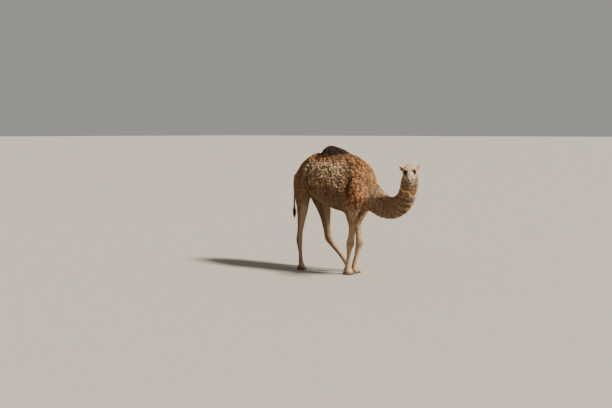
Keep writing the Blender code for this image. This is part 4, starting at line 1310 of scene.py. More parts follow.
def lid_band(side):
    """A ring round the almond with a rounded rim: the lid's section carried round the eye."""
    centre = eye_axes(side)[0]
    angle = full_turn(72)[:, None]
    reach, height = (column[None] for column in np.array(LID_SECTION).T)
    heavy = 1 + 0.35 * np.sin(angle)
    reach = 1 + (reach - 1) * np.where(reach > 1, heavy, 1.0)
    direction = almond_direction(reach + 0 * angle, angle + 0 * reach, side)
    height = height * MM * (1 + 0.18 * np.maximum(np.sin(angle), 0))
    shape = centre + (EYE_RADIUS + height)[..., None] * direction
    return out_of_head(shape)


def closed_band(name, shape):
    """A mesh of rings that join up end to end."""
    rings, corners = shape.shape[:2]
    quads = rings_to_quads(rings + 1, corners) % (rings * corners)
    return recalculate(new_mesh(name, shape, quads))


LASHES = (
    # how many, first and last bearing round the almond, length, rise of the tip
    (62, math.radians(12), math.radians(168), 0.026, -0.35),
    (34, math.radians(200), math.radians(340), 0.012, -0.15),
)
LASH_REACH = (0.00045, 0.00040)      # half width and height of a lash at its root


def lashes(side):
    """Rows of stiff hairs along both rims: each a slim cone whose path droops, then turns up."""
    centre, gaze, ahead, up = eye_axes(side)
    rng = np.random.default_rng(31 + side)
    roots, ways, lengths, bends = [], [], [], []
    for count, first, last, length, bend in LASHES:
        angle = np.linspace(first, last, count) + rng.normal(0, 0.02, count)
        reach = 0.985 + rng.normal(0, 0.02, count)
        direction = almond_direction(reach, angle, side)
        roots.append(centre + direction * (EYE_RADIUS + 0.0017))
        fan = np.cos(angle)[:, None] * ahead * 0.55 + np.sin(angle)[:, None] * up * 0.35
        ways.append(unit(gaze + fan + rng.normal(0, 0.06, (count, 3))))
        middle = 1 - 0.5 * np.abs(np.cos(angle))
        lengths.append(length * middle * rng.uniform(0.85, 1.1, count))
        bends.append(np.full(count, bend))
    root, way = np.concatenate(roots), np.concatenate(ways)
    length, bend = np.concatenate(lengths), np.concatenate(bends)
    t = np.linspace(0, 1, 6)[None, :, None]
    length, bend = length[:, None, None], bend[:, None, None]
    droop = 0.5 * bend * np.sin(t * math.pi * 0.9) - 0.10 * t**2 * np.sign(bend)
    path = root[:, None] + way[:, None] * length * t + up * length * droop
    taper = 1 - 0.85 * t
    across = unit(np.cross(way, up))[:, None] * (LASH_REACH[0] * taper)
    above = up * (LASH_REACH[1] * taper) + 0 * path
    shape = out_of_head(path)
    turn = HEAD_OUT[:3, :3].T
    return hair_mesh("lashes", shape, (across + 0 * path) @ turn, above @ turn)[0]


# ---- locks of hair -------------------------------------------------------------------------------
def hair_mesh(name, path, across, above):
    """Closed three-sided locks. path holds each one's rings and its tip; the others are half sizes.

    Corners are path +- across and path + above. Gives the mesh and each vertex's lock."""
    count, rings = path.shape[0], path.shape[1] - 1
    body = np.stack([path - across, path + across, path + above], 2)[:, :rings].reshape(count, -1, 3)
    points = np.concatenate([body, path[:, -1:]], 1)
    per_lock = 3 * rings + 1
    start = (np.arange(count) * per_lock)[:, None, None]
    quads = (start + rings_to_quads(rings, 3)[None]).reshape(-1, 4)
    last = 3 * (rings - 1) + np.arange(3)
    fan = np.stack([last, np.roll(last, -1), np.full(3, per_lock - 1)], 1)
    ends = np.concatenate([fan, [(2, 1, 0)]])
    triangles = (start + ends[None]).reshape(-1, 3)
    mesh = new_mesh(name, points, quads, triangles)
    share = np.append(np.repeat(np.arange(rings), 3), rings) / rings
    add_values(mesh, {"tip": np.tile(share, count)})
    return mesh, np.repeat(np.arange(count), per_lock)


def sample_roots(mesh, density, seed):
    """Places spread evenly over a mesh, density of them on each square metre.

    Gives each one's triangle, as three vertices, and its share of each of them."""
    mesh.calc_loop_triangles()
    corners = read(mesh.loop_triangles, "vertices", 3, np.int32)
    points = read_points(mesh)
    a, b, c = (points[corners[:, k]] for k in range(3))
    area = 0.5 * np.linalg.norm(np.cross(b - a, c - a), axis=1)
    wanted = np.cumsum(area * density[corners].mean(1))
    rng = np.random.default_rng(seed)
    picks = np.arange(int(wanted[-1])) + rng.uniform(0, 1, int(wanted[-1]))
    chosen = np.minimum(np.searchsorted(wanted, picks), len(corners) - 1)
    u, v = rng.uniform(0, 1, (2, len(chosen)))
    fold = u + v > 1
    u, v = np.where(fold, 1 - u, u), np.where(fold, 1 - v, v)
    return corners[chosen], np.stack([1 - u - v, u, v], 1)


def carried(values, corners, share):
    """Vectors on the vertices, blended to the places that sample_roots gives."""
    return (values[corners] * share[..., None]).sum(1)


# ---- coat ----------------------------------------------------------------------------------------
CURLED_RINGS = 4         # sections of a woolly lock
SLIM_RINGS = 3           # of a long straight one
SHORT_RINGS = 2          # of a short flat one
CURLED = 0.45            # a piece of coat that is woollier than this has curled locks
LONG_LOCK = 0.019        # and one whose locks are longer than this has slim ones


def skin_copy():
    """The skin in the body's own frame."""
    mesh = bpy.data.objects["skin"].data.copy()
    write_points(mesh, read_points(mesh) - SHIFT)
    return mesh


def bald(points, place):
    """How much of the coat is missing, from 0 to 1: on the eyes, lips, nostrils, pads and soles."""
    local, mirrored = on_head(points)
    gone = marks(points, place)["bare"] * 0.9
    for side in (1, -1):
        away = local - eye_axes(side)[0]
        distance = np.linalg.norm(away, axis=1)
        reach = almond_share(away / distance[:, None], side)
        gone = np.maximum(gone, smoothstep(1.50, 1.30, reach) * (distance < 1.6 * EYE_RADIUS))
    lips = smoothstep(0.010, 0.005, from_line(mirrored, LIP_LINE))
    slit = smoothstep(0.013, 0.008, to_segment(mirrored, (0.486, 0.020, 0.000), (0.448, 0.042, 0.024)))
    floor = smoothstep(0.022, 0.010, points[:, 2])
    head = place.share("skull", "jaw")
    return np.maximum.reduce([gone, head * lips, head * slit, floor])


def collar_distance(points):
    """How far points lie from the collar's band, along its axis and within its reach."""
    local = (points - np.array(COLLAR_PLACE)) @ np.array(collar_turn())
    inside = np.hypot(local[:, 0], local[:, 1]) < 1.5 * max(COLLAR_REACH)
    lift = strap_lift(np.arctan2(local[:, 1], local[:, 0]))
    return np.where(inside, np.abs(local[:, 2] - lift), 1.0)


REGIONS = {
    # name: (parts that it grows from, lowest and highest x, side or 0 for both, slot)
    "rump_right": (("trunk", "hindleg_right"), (-2.0, -0.42), -1, "flank_coat"),
    "rump_left": (("trunk", "hindleg_left"), (-2.0, -0.42), 1, "flank_coat"),
    "flank_right": (("trunk",), (-0.42, 0.02), -1, "flank_coat"),
    "flank_left": (("trunk",), (-0.42, 0.02), 1, "flank_coat"),
    "girth_right": (("trunk",), (0.02, 0.40), -1, "flank_coat"),
    "girth_left": (("trunk",), (0.02, 0.40), 1, "flank_coat"),
    "shoulder_right": (("trunk", "foreleg_right"), (0.40, 2.0), -1, "flank_coat"),
    "shoulder_left": (("trunk", "foreleg_left"), (0.40, 2.0), 1, "flank_coat"),
    "hump": (("hump",), (-2.0, 2.0), 0, "hump_coat"),
    "neck_lower": (("neck",), (-2.0, 1.10), 0, "neck_coat"),
    "neck_upper": (("neck",), (1.10, 2.0), 0, "neck_coat"),
    "head": (("skull", "jaw"), (-2.0, 2.0), 0, "face_coat"),
    "foreleg_right": (("foreleg_right",), (-2.0, 2.0), 0, "lower_leg_coat"),
    "foreleg_left": (("foreleg_left",), (-2.0, 2.0), 0, "lower_leg_coat"),
    "hindleg_right": (("hindleg_right",), (-2.0, 2.0), 0, "lower_leg_coat"),
    "hindleg_left": (("hindleg_left",), (-2.0, 2.0), 0, "lower_leg_coat"),
    "tail": (("tail",), (-2.0, 2.0), 0, "tail_hair"),
}
LEG_TOP = 1.02           # above this height a leg's coat goes with the trunk's


def regions_of(points, place):
    """The number of the coat piece that each point belongs to."""
    part = np.array(PARTS)[place.weight.argmax(1)]
    number = np.full(len(points), -1)
    leg = np.isin(part, LEGS)
    low = points[:, 2] < LEG_TOP
    for k, (name, (parts, (back, front), side, _)) in enumerate(REGIONS.items()):
        mine = np.isin(part, parts) & (points[:, 0] >= back) & (points[:, 0] < front)
        if side:
            mine &= np.where(side > 0, points[:, 1] >= 0, points[:, 1] < 0) & ~(leg & low)
        elif "leg" in name:
            mine &= low
        number[mine] = k
    # What no piece has claimed, such as a thigh's front, goes with the trunk beside it.
    left_over = number < 0
    for k, (_, (back, front), side, _) in enumerate(REGIONS.values()):
        beside = (points[:, 0] >= back) & (points[:, 0] < front) & ((points[:, 1] >= 0) == (side > 0))
        number[left_over & beside & (side != 0)] = k
    return number


def chart(points, place):
    """Each root's place on an unwrap of the skin: round its part and along it, a strip a part."""
    column = place.weight.argmax(1)
    rows = np.arange(len(points))
    round_it = place.angle[rows, column] / math.tau + 0.5
    along = place.along[rows, column]
    flat = np.zeros((len(points), 2))
    parts, counts = np.unique(column, return_counts=True)
    edges = np.concatenate([[0], np.cumsum(counts / counts.sum())])
    for part, low, high in zip(parts, edges, edges[1:]):
        mine = column == part
        for axis, value, first, last in ((0, round_it[mine], low, high), (1, along[mine], 0.0, 1.0)):
            share = (value - value.min()) / (np.ptp(value) + 1e-9)
            flat[mine, axis] = first + (0.01 + 0.98 * share) * (last - first)
    return flat


# The short hair on the ears, as in coat_numbers.
EAR_HAIR = {"depth": 0.002, "length": 0.011, "width": 0.0016, "density": 60000.0, "woolly": 0.0}
ROOT_DEPTH = 0.0015      # of a lock's root in the skin
PATCH = 0.0015           # half size of a lock's patch on the unwrap that chart() gives
PATCH_CORNERS = np.array(((-1.0, -0.6), (1.0, -0.6), (0.0, 1.0)))


def coat_roots(facts, number, density, seed):
    """Where the locks of one coat piece stand: their roots, and the skin's normals there."""
    mesh, points, normals, place, region = facts
    mine = region == number
    wanted = coat_numbers(place)["density"] * (1 - bald(points, place)) * mine * density
    wanted = wanted * (1 - 0.55 * smoothstep(0.030, 0.016, collar_distance(points)))
    wanted = np.where(ear_reach(in_head(points)) >= 0, EAR_HAIR["density"] * mine, wanted)
    corners, share = sample_roots(mesh, wanted, seed)
    return carried(points, corners, share), unit(carried(normals, corners, share))


def to_ear_tips(lie, root, normal):
    """Turns the lie of the hair on the ears to run from root to tip."""
    local = in_head(root)
    on_ear = ear_reach(local) >= 0
    for ear_root, way, _ in EARS.values():
        tipward = np.array(way) @ HEAD_OUT[:3, :3].T
        close = on_ear & (np.linalg.norm(local - np.array(ear_root), axis=1) < 0.12)
        lie[close] = unit(tipward - dots(normal[close], tipward)[:, None] * normal[close])
    return on_ear


def coat_piece(name, facts, settings, seed):
    """One piece of coat: locks along the lie of the hair, gathered in clumps, curled where woolly.

    A lock's path leaves the skin, rises to the coat's depth as a quarter sine, runs with the lie,
    leans towards its clump's middle as its share to the power 1.6, and winds in a helix. Its width
    grows from 0.7 to 1 over the first third and falls to nothing at the tip."""
    root, normal = coat_roots(facts, list(REGIONS).index(name), settings.density, seed)
    here = Anatomy(root)
    lie, sure = coat_lie(normal, here)
    on_ear = to_ear_tips(lie, root, normal)
    numbers = {key: np.where(on_ear, EAR_HAIR[key], value) for key, value in coat_numbers(here).items()}
    rng = np.random.default_rng(seed + 100)
    count = len(root)
    woolly = numbers["woolly"]
    turn = rng.normal(0, 1, count) * (0.14 + 0.30 * woolly + 1.6 * (1 - sure) ** 2)
    side = np.cross(normal, lie)
    lie = np.cos(turn)[:, None] * lie + np.sin(turn)[:, None] * side
    side = np.cross(normal, lie)

    length = numbers["length"] * settings.length * rng.uniform(0.7, 1.25, count)
    depth = numbers["depth"] * rng.uniform(0.65, 1.1, count)
    depth = depth * (1 - 0.45 * smoothstep(0.045, 0.015, collar_distance(root)))
    width = numbers["width"] * rng.uniform(0.7, 1.25, count)
    gap, to_middle, clump_tone = clumps(root, CLUMP)
    to_middle = to_middle - dots(to_middle, normal)[:, None] * normal
    hold = (0.25 + 0.45 * woolly) * ~on_ear

    straight_rings = SLIM_RINGS if length.mean() > LONG_LOCK else SHORT_RINGS
    rings = CURLED_RINGS if woolly.mean() > CURLED else straight_rings
    t = np.linspace(0, 1, rings + 1)[None, :, None]
    depth, length, width, hold = (value[:, None, None] for value in (depth, length, width, hold))
    curl = (woolly * settings.curl)[:, None, None] * rng.uniform(0.6, 1.3, (count, 1, 1))
    start = rng.uniform(0, math.tau, (count, 1, 1))
    wind = start + t * math.tau * rng.uniform(0.7, 1.2, (count, 1, 1))
    rise = -ROOT_DEPTH + (depth + ROOT_DEPTH) * np.sin(np.minimum(t * 1.35, 1.0) * math.pi / 2)
    rise = rise + curl * 0.8 * (np.cos(wind) - np.cos(start)) * t
    along = length * t * (1 - 0.25 * woolly[:, None, None] * t)
    aside = curl * (np.sin(wind) - np.sin(start)) * np.minimum(t * 2, 1)
    path = (
        root[:, None]
        + lie[:, None] * along
        + normal[:, None] * rise
        + side[:, None] * aside
        + to_middle[:, None] * (hold * t**1.6)
    )
    path[..., 2] = np.maximum(path[..., 2], 0.001)
    shape = np.where(t < 0.35, 0.7 + 0.3 * t / 0.35, np.maximum(1 - t, 0) ** 0.65 / 0.65**0.65)
    twist = rng.normal(0, 0.35, (count, 1, 1))
    flat_way = np.cos(twist) * side[:, None] + np.sin(twist) * normal[:, None]
    high_way = -np.sin(twist) * side[:, None] + np.cos(twist) * normal[:, None]
    made, lock = hair_mesh(name, path, flat_way * (0.5 * width * shape), high_way * (0.42 * width * shape))

    mottle = 0.12 + 0.98 * curly(root, here)
    # the tone falls in the gaps between clumps: painted shade between the lumps of wool
    tone = mottle * (2 * clump_tone - 0.8 - 1.8 * np.clip(gap - 0.40, 0, 1)) + rng.normal(0, 0.30, count)
    values = {"tone": np.clip(tone, -1, 1), **marks(root, here)}
    add_values(made, {key: value[lock] for key, value in values.items()})
    rows = [PATCH_CORNERS * (1 - ring / rings) for ring in range(rings)]
    patch = np.tile(np.vstack([*rows, np.zeros((1, 2))]), (count, 1)) * PATCH
    add_uv(made, "OFBake", chart(root, here)[lock] + patch)
    return made


# ---- nails ---------------------------------------------------------------------------------------
NAIL_REACH = (0.024, 0.020, 0.012)   # forwards, to each side and up
NAIL_HEIGHT = 0.021
NAIL_DEPTH = 0.018                   # of its middle behind the toe's front


def nail_mesh(foot_name, side):
    """A toenail: half an egg set over the toe's front, flattened below and ridged at its root."""
    (x, y), half_length, half_width, _ = FEET[foot_name]
    place = np.array((x + half_length - NAIL_DEPTH, y + side * half_width * TOE_SPLAY, NAIL_HEIGHT))
    off = np.linspace(0.06, math.pi - 0.06, 18)[:, None]
    angle = full_turn(28)[None]
    worn = 1 - 0.10 * smoothstep(0.9, 0.2, off) - 0.04 * smoothstep(-0.2, -1.0, np.sin(angle))
    ridge = 1 + 0.015 * np.cos(9 * off)
    x_part = np.cos(off) * NAIL_REACH[0] * worn + 0 * angle
    y_part = np.sin(off) * np.cos(angle) * NAIL_REACH[1] * ridge
    z_part = np.sin(off) * np.sin(angle) * NAIL_REACH[2] * ridge * np.where(np.sin(angle) < 0, 0.85, 1.0)
    z_part = z_part - 0.10 * np.maximum(x_part, 0)
    shape = place + np.stack([x_part, y_part, z_part], -1)
    mesh = recalculate(tubes("nail", [shape]))
    edge = smoothstep(0.5, 0.1, off) + 0.6 * smoothstep(-0.5, -0.9, np.sin(angle))
    add_values(mesh, {"edge": np.clip(edge, 0, 1).ravel()})
    return mesh


# ---- collar --------------------------------------------------------------------------------------
COLLAR_PLACE = Vector((1.497, -0.035, 1.426))
COLLAR_AXIS = Vector((0.52, -0.22, 0.82))
COLLAR_REACH = (0.154, 0.137)
COLLAR_WIDTH = 0.026
STRAP_STEPS = 180
STRAP_CLEARANCE = 0.0085         # from the skin to the strap's middle
STRAP_WAVE = 0.0016              # how far it strays up and down on its way round
STRAP_BOW = 0.0012               # how far its edges bend inwards
STRAP_THICKNESS = 0.0028
KNOT_BEARING = math.radians(-27.0)
# The slack strap sags to its knot and rides up beside it.
KNOT_DROP = 0.052
KNOT_SPREAD = math.radians(17.0)
RISE = 0.036
RISE_BEARING = math.radians(-66.0)
RISE_SPREAD = math.radians(24.0)
CORD_THICKNESS = 0.0075


def collar_turn():
    """The collar's own directions as columns: to the throat, across, and along its axis."""
    up = COLLAR_AXIS.normalized()
    across = up.cross(Vector((1, 0, 0))).normalized()
    return Matrix((across.cross(up), across, up)).transposed()


def bell_round(bearing, middle, spread):
    """A bell on the bearings round the collar, that many radians wide."""
    return bell((bearing - middle + math.pi) % math.tau - math.pi, spread)


def strap_lift(bearing):
    """How high the strap lies over the collar's plane: up beside the knot and down at it."""
    rise = RISE * bell_round(bearing, RISE_BEARING, RISE_SPREAD)
    return rise - KNOT_DROP * bell_round(bearing, KNOT_BEARING, KNOT_SPREAD)


def collar_radius(bearings):
    """How far the strap runs from the collar's axis: over the skin, by most of the coat's depth."""
    with editing(skin_copy()) as bm:
        tree = BVHTree.FromBMesh(bm)
    turn = collar_turn()
    radius = []
    for bearing in bearings:
        way = turn @ Vector((math.cos(bearing), math.sin(bearing), 0))
        hits = [tree.ray_cast(COLLAR_PLACE + turn @ Vector((0, 0, strap_lift(bearing) + lift)), way)[3]
                for lift in (-0.4 * COLLAR_WIDTH, 0.0, 0.4 * COLLAR_WIDTH)]
        radius.append(max(hit for hit in hits if hit))
    radius = np.array(radius)
    for _ in range(12):
        radius = np.maximum(radius, (np.roll(radius, 1) + np.roll(radius, -1)) / 2)
    return radius + STRAP_CLEARANCE


def ring_points(bearing, radius, lift):
    """Places round the collar, from arrays of bearing, distance from the axis and height on it."""
    local = np.stack([radius * np.cos(bearing), radius * np.sin(bearing), lift + 0 * bearing], -1)
    return local @ np.array(collar_turn()).T + np.array(COLLAR_PLACE)


def strap_mesh():
    """A flat strap round the neck: a rounded flat section carried round, waving a little."""
    bearing = full_turn(STRAP_STEPS)
    radius = collar_radius(bearing)
    middle = ring_points(bearing, radius, strap_lift(bearing))
    along = unit(np.roll(middle, -1, axis=0) - np.roll(middle, 1, axis=0))
    axis = np.array(COLLAR_AXIS.normalized())
    out = middle - np.array(COLLAR_PLACE)
    out = out - (out @ axis)[:, None] * axis
    out = unit(out - dots(out, along)[:, None] * along)
    up = np.cross(out, along)
    up = up * np.sign(up @ axis)[:, None]
    angle = full_turn(16)[None]
    c, s = np.cos(angle), np.sin(angle)
    thick = 0.5 * STRAP_THICKNESS * np.sign(c) * np.abs(c) ** 0.6
    lift = 0.5 * COLLAR_WIDTH * np.sign(s) * np.abs(s) ** 0.35
    thick = thick - STRAP_BOW * (2 * lift / COLLAR_WIDTH) ** 2
    high = lift + STRAP_WAVE * np.sin(5 * bearing)[:, None]
    shape = middle[:, None] + thick[..., None] * out[:, None] + high[..., None] * up[:, None]
    mesh = closed_band("collar", shape)
    around = np.concatenate([[0], np.linalg.norm(np.diff(middle, axis=0), axis=1).cumsum()])
    weave = np.stack(np.broadcast_arrays(around[:, None], lift), -1)
    add_uv(mesh, "weave", weave.reshape(-1, 2))
    return mesh, radius


def round_cord(name, paths, thickness, corners=12):
    """Round cords with domed ends, each along a path of points."""
    shapes, places = [], []
    for path in paths:
        ahead = unit(np.gradient(path, axis=0))
        side = unit(np.cross(ahead, np.array((0.3, 0.2, 0.93))))
        up = np.cross(ahead, side)
        run = np.concatenate([[0], np.linalg.norm(np.diff(path, axis=0), axis=1).cumsum()])
        end = np.minimum(run, run[-1] - run)
        size = 0.5 * thickness * np.sqrt(np.clip(end / (0.5 * thickness), 0.02, 1.0))
        angle = full_turn(corners)[None, :, None]
        size = size[:, None, None]
        shapes.append(path[:, None] + size * (np.cos(angle) * side[:, None] + np.sin(angle) * up[:, None]))
        around = 0.5 * thickness * np.arange(corners) * math.tau / corners
        places.append(np.stack([np.tile(around, (len(path), 1)), np.tile(run[:, None], (1, corners))], -1))
    mesh = recalculate(tubes(name, shapes))
    add_uv(mesh, "weave", np.concatenate([place.reshape(-1, 2) for place in places]))
    return mesh


CORD_WRAP = (3.0, 0.024, 0.0085, 0.0175)     # turns, then how far along, out and up they reach
CORD_KNOT = 0.0062                           # half size of the overhand knot
CORD_TAILS = ((0.35, 0.034), (-0.30, 0.027))     # how each leans aside, and its length


def knot_mesh(radius):
    """A thin cord whipped round the strap, tied in an overhand knot, with two short tails."""
    bearing = np.array([KNOT_BEARING])
    axis_place = np.array(COLLAR_PLACE)
    out = unit(ring_points(bearing, np.array([1.0]), 0.0)[0] - axis_place)
    up = np.array(COLLAR_AXIS.normalized())
    aside = np.cross(up, out)
    at = np.interp(KNOT_BEARING % math.tau, full_turn(STRAP_STEPS), radius)
    middle = ring_points(bearing, at + 0.008, strap_lift(bearing))[0]

    def route(outwards, sideways, upwards):
        """Places that far out, aside and up from the knot's middle."""
        return middle + out * outwards[:, None] + aside * sideways[:, None] + up * upwards[:, None]

    count, along, deep, high = CORD_WRAP
    turns = np.linspace(0, 1, 90)
    angle = math.tau * count * turns
    wrap = route(deep * np.cos(angle) - 0.004, (turns - 0.5) * along, high * np.sin(angle))
    angle = math.tau * np.linspace(0, 1, 80)
    knot = route(
        0.010 + 0.0050 * np.sin(3 * angle),
        CORD_KNOT * (np.sin(angle) + 2 * np.sin(2 * angle)) / 1.6,
        CORD_KNOT * (np.cos(angle) - 2 * np.cos(2 * angle)) / 1.4,
    )
    down = np.array((0.0, 0.0, -1.0))
    tails = []
    for lean, length in CORD_TAILS:
        start = middle + out * 0.012
        rows = [start, start + out * 0.007 + aside * lean * 0.012 - up * 0.006,
                start + out * 0.007 + down * length * 0.6 + aside * lean * 0.022,
                start + out * 0.003 + down * length + aside * lean * 0.026]
        tails.append(smooth_rows(rows, 12))
    return round_cord("collar_cord", [wrap, knot, *tails], CORD_THICKNESS)


# ---- stage ---------------------------------------------------------------------------------------
CAMERA_PLACE = (8.658, -11.011, 2.306)   # in the body's own frame
CAMERA_BEARING = math.radians(40.0)
CAMERA_FALL = math.radians(4.84)
LENS = 50.0
SUN_WAY = Vector((0.76, 0.15, 0.63))     # from the camel to the light
SUN_TINT = (1.0, 0.95, 0.86)
FLOOR_REACH = 400.0


def floor_mesh():
    """A level sheet: a grid of two by two corners."""
    x, y = np.meshgrid((-FLOOR_REACH, FLOOR_REACH), (-FLOOR_REACH, FLOOR_REACH))
    points = np.stack([x, y, 0 * x], -1)
    return new_mesh("floor", points, np.array([(0, 1, 3, 2)]))


# ---- what a user can change ----------------------------------------------------------------------
def amount(name, description, value, least, most, **more):
    """A number that a user can change."""
    return FloatProperty(name=name, description=description, default=value, min=least, max=most, **more)


def colour_property(name, description, value):
    """A colour that a user can change, from its sRGB hex value."""
    return FloatVectorProperty(
        name=name, description=description, default=linear(value)[:3], size=3, min=0.0, max=1.0,
        subtype="COLOR",
    )


class CamelCoat(PropertyGroup):
    """How thick, long and curled the hair is."""

    density: amount("Density", "Share of the usual number of locks", 1.0, 0.05, 1.3)
    length: amount("Length", "Share of each lock's usual length", 1.0, 0.3, 1.5)
    curl: amount("Curl", "Radius of a woolly lock's curl", 0.0042, 0.0, 0.01, subtype="DISTANCE")


class CamelColours(PropertyGroup):
    """Colours of the coat's marks, the eyes and nails, and what the camel wears."""

    flank_low: colour_property("Flank, dark", "The coat's main brown in its darker patches", "#866449")
    flank_high: colour_property("Flank, light", "The coat's main brown in its lighter patches", "#D8AB80")
    warm: colour_property("Back", "Rusty brown of the back, rump and chest", "#C78C55")
    # the cream also paints the highlight on the upper flank, the neck's upper side and the hind legs'
    # fronts
    pale: colour_property("Cream", "Legs, forehead and the neck's upper side", "#E6C69C")
    grey: colour_property("Muzzle", "Mouse grey of the muzzle", "#BCA992")
    # the brown-black also paints shade behind the shoulder, before the thigh, under the body and head,
    # round the eyes and in creases
    dark: colour_property("Hump cap", "Brown-black of the hump, tail and round the eyes", "#2E1A10")
    bare: colour_property("Pads", "Leathery skin of the knees, chest and soles", "#6A5B4D")
    iris: colour_property("Iris", "Brown of the eye", "#2C1A10")
    eye_white: colour_property("Eye white", "The eyeball beside the iris", "#2A211C")
    nail: colour_property("Toenail", "Worn horn", "#39302A")
    webbing: colour_property("Collar", "Yellow webbing", "#E8CC20")
    webbing_shade: colour_property("Collar, between threads", "Yellow webbing in its gaps", "#A88A18")
    cord: colour_property("Cord", "Purple cord tied to the collar", "#6B3A86")


class CamelStage(PropertyGroup):
    """Light and floor."""

    sun: amount("Sun", "Strength of the main light", 11.5, 0.0, 20.0)
    softness: amount("Softness", "Width of the main light", math.radians(9), 0.0, 1.5, subtype="ANGLE")
    sky: amount("Sky", "Strength of the light from all round", 0.42, 0.0, 5.0)
    floor: colour_property("Floor", "Plain pale floor", "#9C968C")
    backdrop: colour_property("Backdrop", "Plain pale wall of light", "#E6E2DC")


# ---- operators -----------------------------------------------------------------------------------
FLESH = [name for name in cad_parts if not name.startswith(("eye", "nail", "collar"))]
SIDES = (("left", 1), ("right", -1))
RIM_DARKNESS = np.array([0.9, 1.0, 1.0, 1.0, 0.9, 0.5, 0.15, 0.0, 0.0, 0.5])    # along LID_SECTION


def plain_values(mesh, tone, tip):
    """The body's marks on a mesh without locks, with one tone and one place along a hair."""
    points = read_points(mesh)
    whole = np.ones(len(points))
    return {**marks(points, Anatomy(points)), "tone": tone * whole, "tip": tip * whole}


class CAMEL_OT_skin(Operator):
    """Makes the one skin that runs over the whole body"""

    bl_idname = "camel.skin"
    bl_label = "Skin"

    def execute(self, context):
        mesh = build_skin()
        # the skin is darkened like the locks' roots: painted shade under the coat
        add_values(mesh, plain_values(mesh, -0.15, 0.35))
        material = camel_hair("undercoat", context.scene.camel_colours, 2.2, 1.2, 0.05)
        put("skin", mesh, material, FLESH)
        return {"FINISHED"}


class CAMEL_OT_eyes(Operator):
    """Makes both eyeballs"""

    bl_idname = "camel.eyes"
    bl_label = "Eyes"

    def execute(self, context):
        material = eye_material(context.scene.camel_colours)
        for name, side in SIDES:
            put("eyeball_" + name, eyeball(side), material, ["eye_" + name])
        return {"FINISHED"}


class CAMEL_OT_lids(Operator):
    """Makes the lids round both eyes, and their lashes"""

    bl_idname = "camel.lids"
    bl_label = "Lids and lashes"

    def execute(self, context):
        skin = camel_hair("lid_skin", context.scene.camel_colours, 0.9, 0.25, 0.05)
        lash = lash_material()
        for name, side in SIDES:
            shape = lid_band(side)
            mesh = closed_band("lids", shape)
            values = plain_values(mesh, -0.1, 0.5)
            values["dark"] = np.maximum(values["dark"], np.tile(RIM_DARKNESS, len(shape)))
            add_values(mesh, values)
            put("lids_" + name, mesh, skin)
            put("lashes_" + name, lashes(side), lash)
        return {"FINISHED"}


class CAMEL_OT_nails(Operator):
    """Makes the eight toenails"""

    bl_idname = "camel.nails"
    bl_label = "Toenails"

    def execute(self, context):
        material = horn_material(context.scene.camel_colours)
        for foot_name in FEET:
            end, body_side = foot_name.split("_")
            outer = dict(SIDES)[body_side]
            for name, side in (("outer", outer), ("inner", -outer)):
                toe = f"nail_{end}_{body_side}_{name}"
                put("toe" + toe, nail_mesh(foot_name, side), material, [toe])
        return {"FINISHED"}


class CAMEL_OT_collar(Operator):
    """Makes the webbing collar and the cord tied to it"""

    bl_idname = "camel.collar"
    bl_label = "Collar"

    def execute(self, context):
        colours = context.scene.camel_colours
        strap, radius = strap_mesh()
        put("strap", strap, webbing_material(colours), ["collar"])
        put("knot", knot_mesh(radius), cord_material(colours), ["collar_knot"])
        return {"FINISHED"}


class CAMEL_OT_coat(Operator):
    """Covers the skin with locks of hair, region by region"""

    bl_idname = "camel.coat"
    bl_label = "Coat"

    def execute(self, context):
        settings = context.scene.camel_coat
        mesh = skin_copy()
        points = read_points(mesh)
        place = Anatomy(points)
        facts = (mesh, points, read_normals(mesh), place, regions_of(points, place))
        material = camel_hair("camel_hair", context.scene.camel_colours, 3.0, 0.2, 0.08)
        for seed, (name, (_, _, _, slot)) in enumerate(REGIONS.items()):
            put("coat_" + name, coat_piece(name, facts, settings, seed), material)
        return {"FINISHED"}


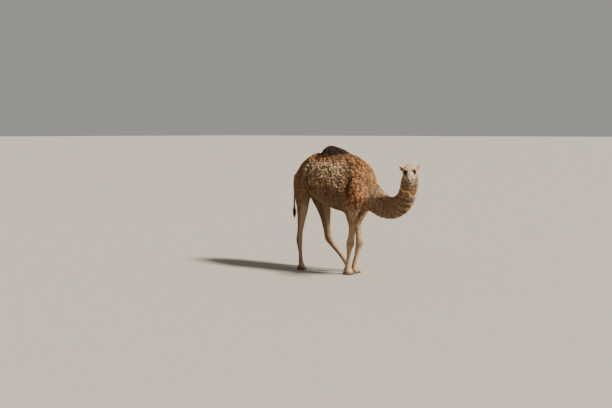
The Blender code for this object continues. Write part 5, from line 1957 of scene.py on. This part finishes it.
class CAMEL_OT_stage(Operator):
    """Sets the floor, the light and the camera"""

    bl_idname = "camel.stage"
    bl_label = "Stage"

    def execute(self, context):
        stage = context.scene.camel_stage
        scene = context.scene
        floor = new_object("floor", floor_mesh())
        floor.data.materials.append(ground_material(stage.floor))
        light = bpy.data.lights.new("sun", "SUN")
        light.energy = stage.sun
        light.angle = stage.softness
        light.color = SUN_TINT
        sun = bpy.data.objects.new("sun", light)
        sun.rotation_euler = SUN_WAY.to_track_quat("Z", "Y").to_euler()
        scene.collection.objects.link(sun)
        world = bpy.data.worlds.new("backdrop")
        world.use_nodes = True
        background = world.node_tree.nodes["Background"]
        background.inputs["Color"].default_value = opaque(stage.backdrop)
        background.inputs["Strength"].default_value = stage.sky
        scene.world = world
        camera = bpy.data.objects.new("camera", bpy.data.cameras.new("camera"))
        camera.data.lens = LENS
        camera.location = np.array(CAMERA_PLACE) + SHIFT
        camera.rotation_euler = (math.radians(90) - CAMERA_FALL, 0, CAMERA_BEARING)
        scene.collection.objects.link(camera)
        scene.camera = camera
        return {"FINISHED"}


class CAMEL_PT_builder(Panel):
    """Lists the pieces in the order in which they are made"""

    bl_idname = "CAMEL_PT_builder"
    bl_label = "Camel"
    bl_space_type = "VIEW_3D"
    bl_region_type = "UI"
    bl_category = "Camel"

    def draw(self, context):
        scene = context.scene
        for group in (scene.camel_coat, scene.camel_colours, scene.camel_stage):
            box = self.layout.box()
            for name in group.bl_rna.properties.keys():
                if name not in ("rna_type", "name"):
                    box.prop(group, name)
        for operator in OPERATORS:
            self.layout.operator(operator.bl_idname)


GROUPS = {"camel_coat": CamelCoat, "camel_colours": CamelColours, "camel_stage": CamelStage}
OPERATORS = (
    CAMEL_OT_skin,
    CAMEL_OT_eyes,
    CAMEL_OT_lids,
    CAMEL_OT_nails,
    CAMEL_OT_collar,
    CAMEL_OT_coat,
    CAMEL_OT_stage,
)


def register():
    """Adds the classes, and the settings that each scene has."""
    for made in (*GROUPS.values(), *OPERATORS, CAMEL_PT_builder):
        bpy.utils.register_class(made)
    for name, group in GROUPS.items():
        setattr(bpy.types.Scene, name, PointerProperty(type=group))


def unregister():
    """Takes the classes and the settings away again."""
    for name in GROUPS:
        delattr(bpy.types.Scene, name)
    for made in (CAMEL_PT_builder, *OPERATORS[::-1], *reversed(GROUPS.values())):
        bpy.utils.unregister_class(made)


def main():
    """Makes the camel piece by piece."""
    register()
    bpy.ops.camel.skin()
    bpy.ops.camel.eyes()
    bpy.ops.camel.lids()
    bpy.ops.camel.nails()
    bpy.ops.camel.collar()
    bpy.ops.camel.coat()
    bpy.ops.camel.stage()


if __name__ == "__main__":
    main()
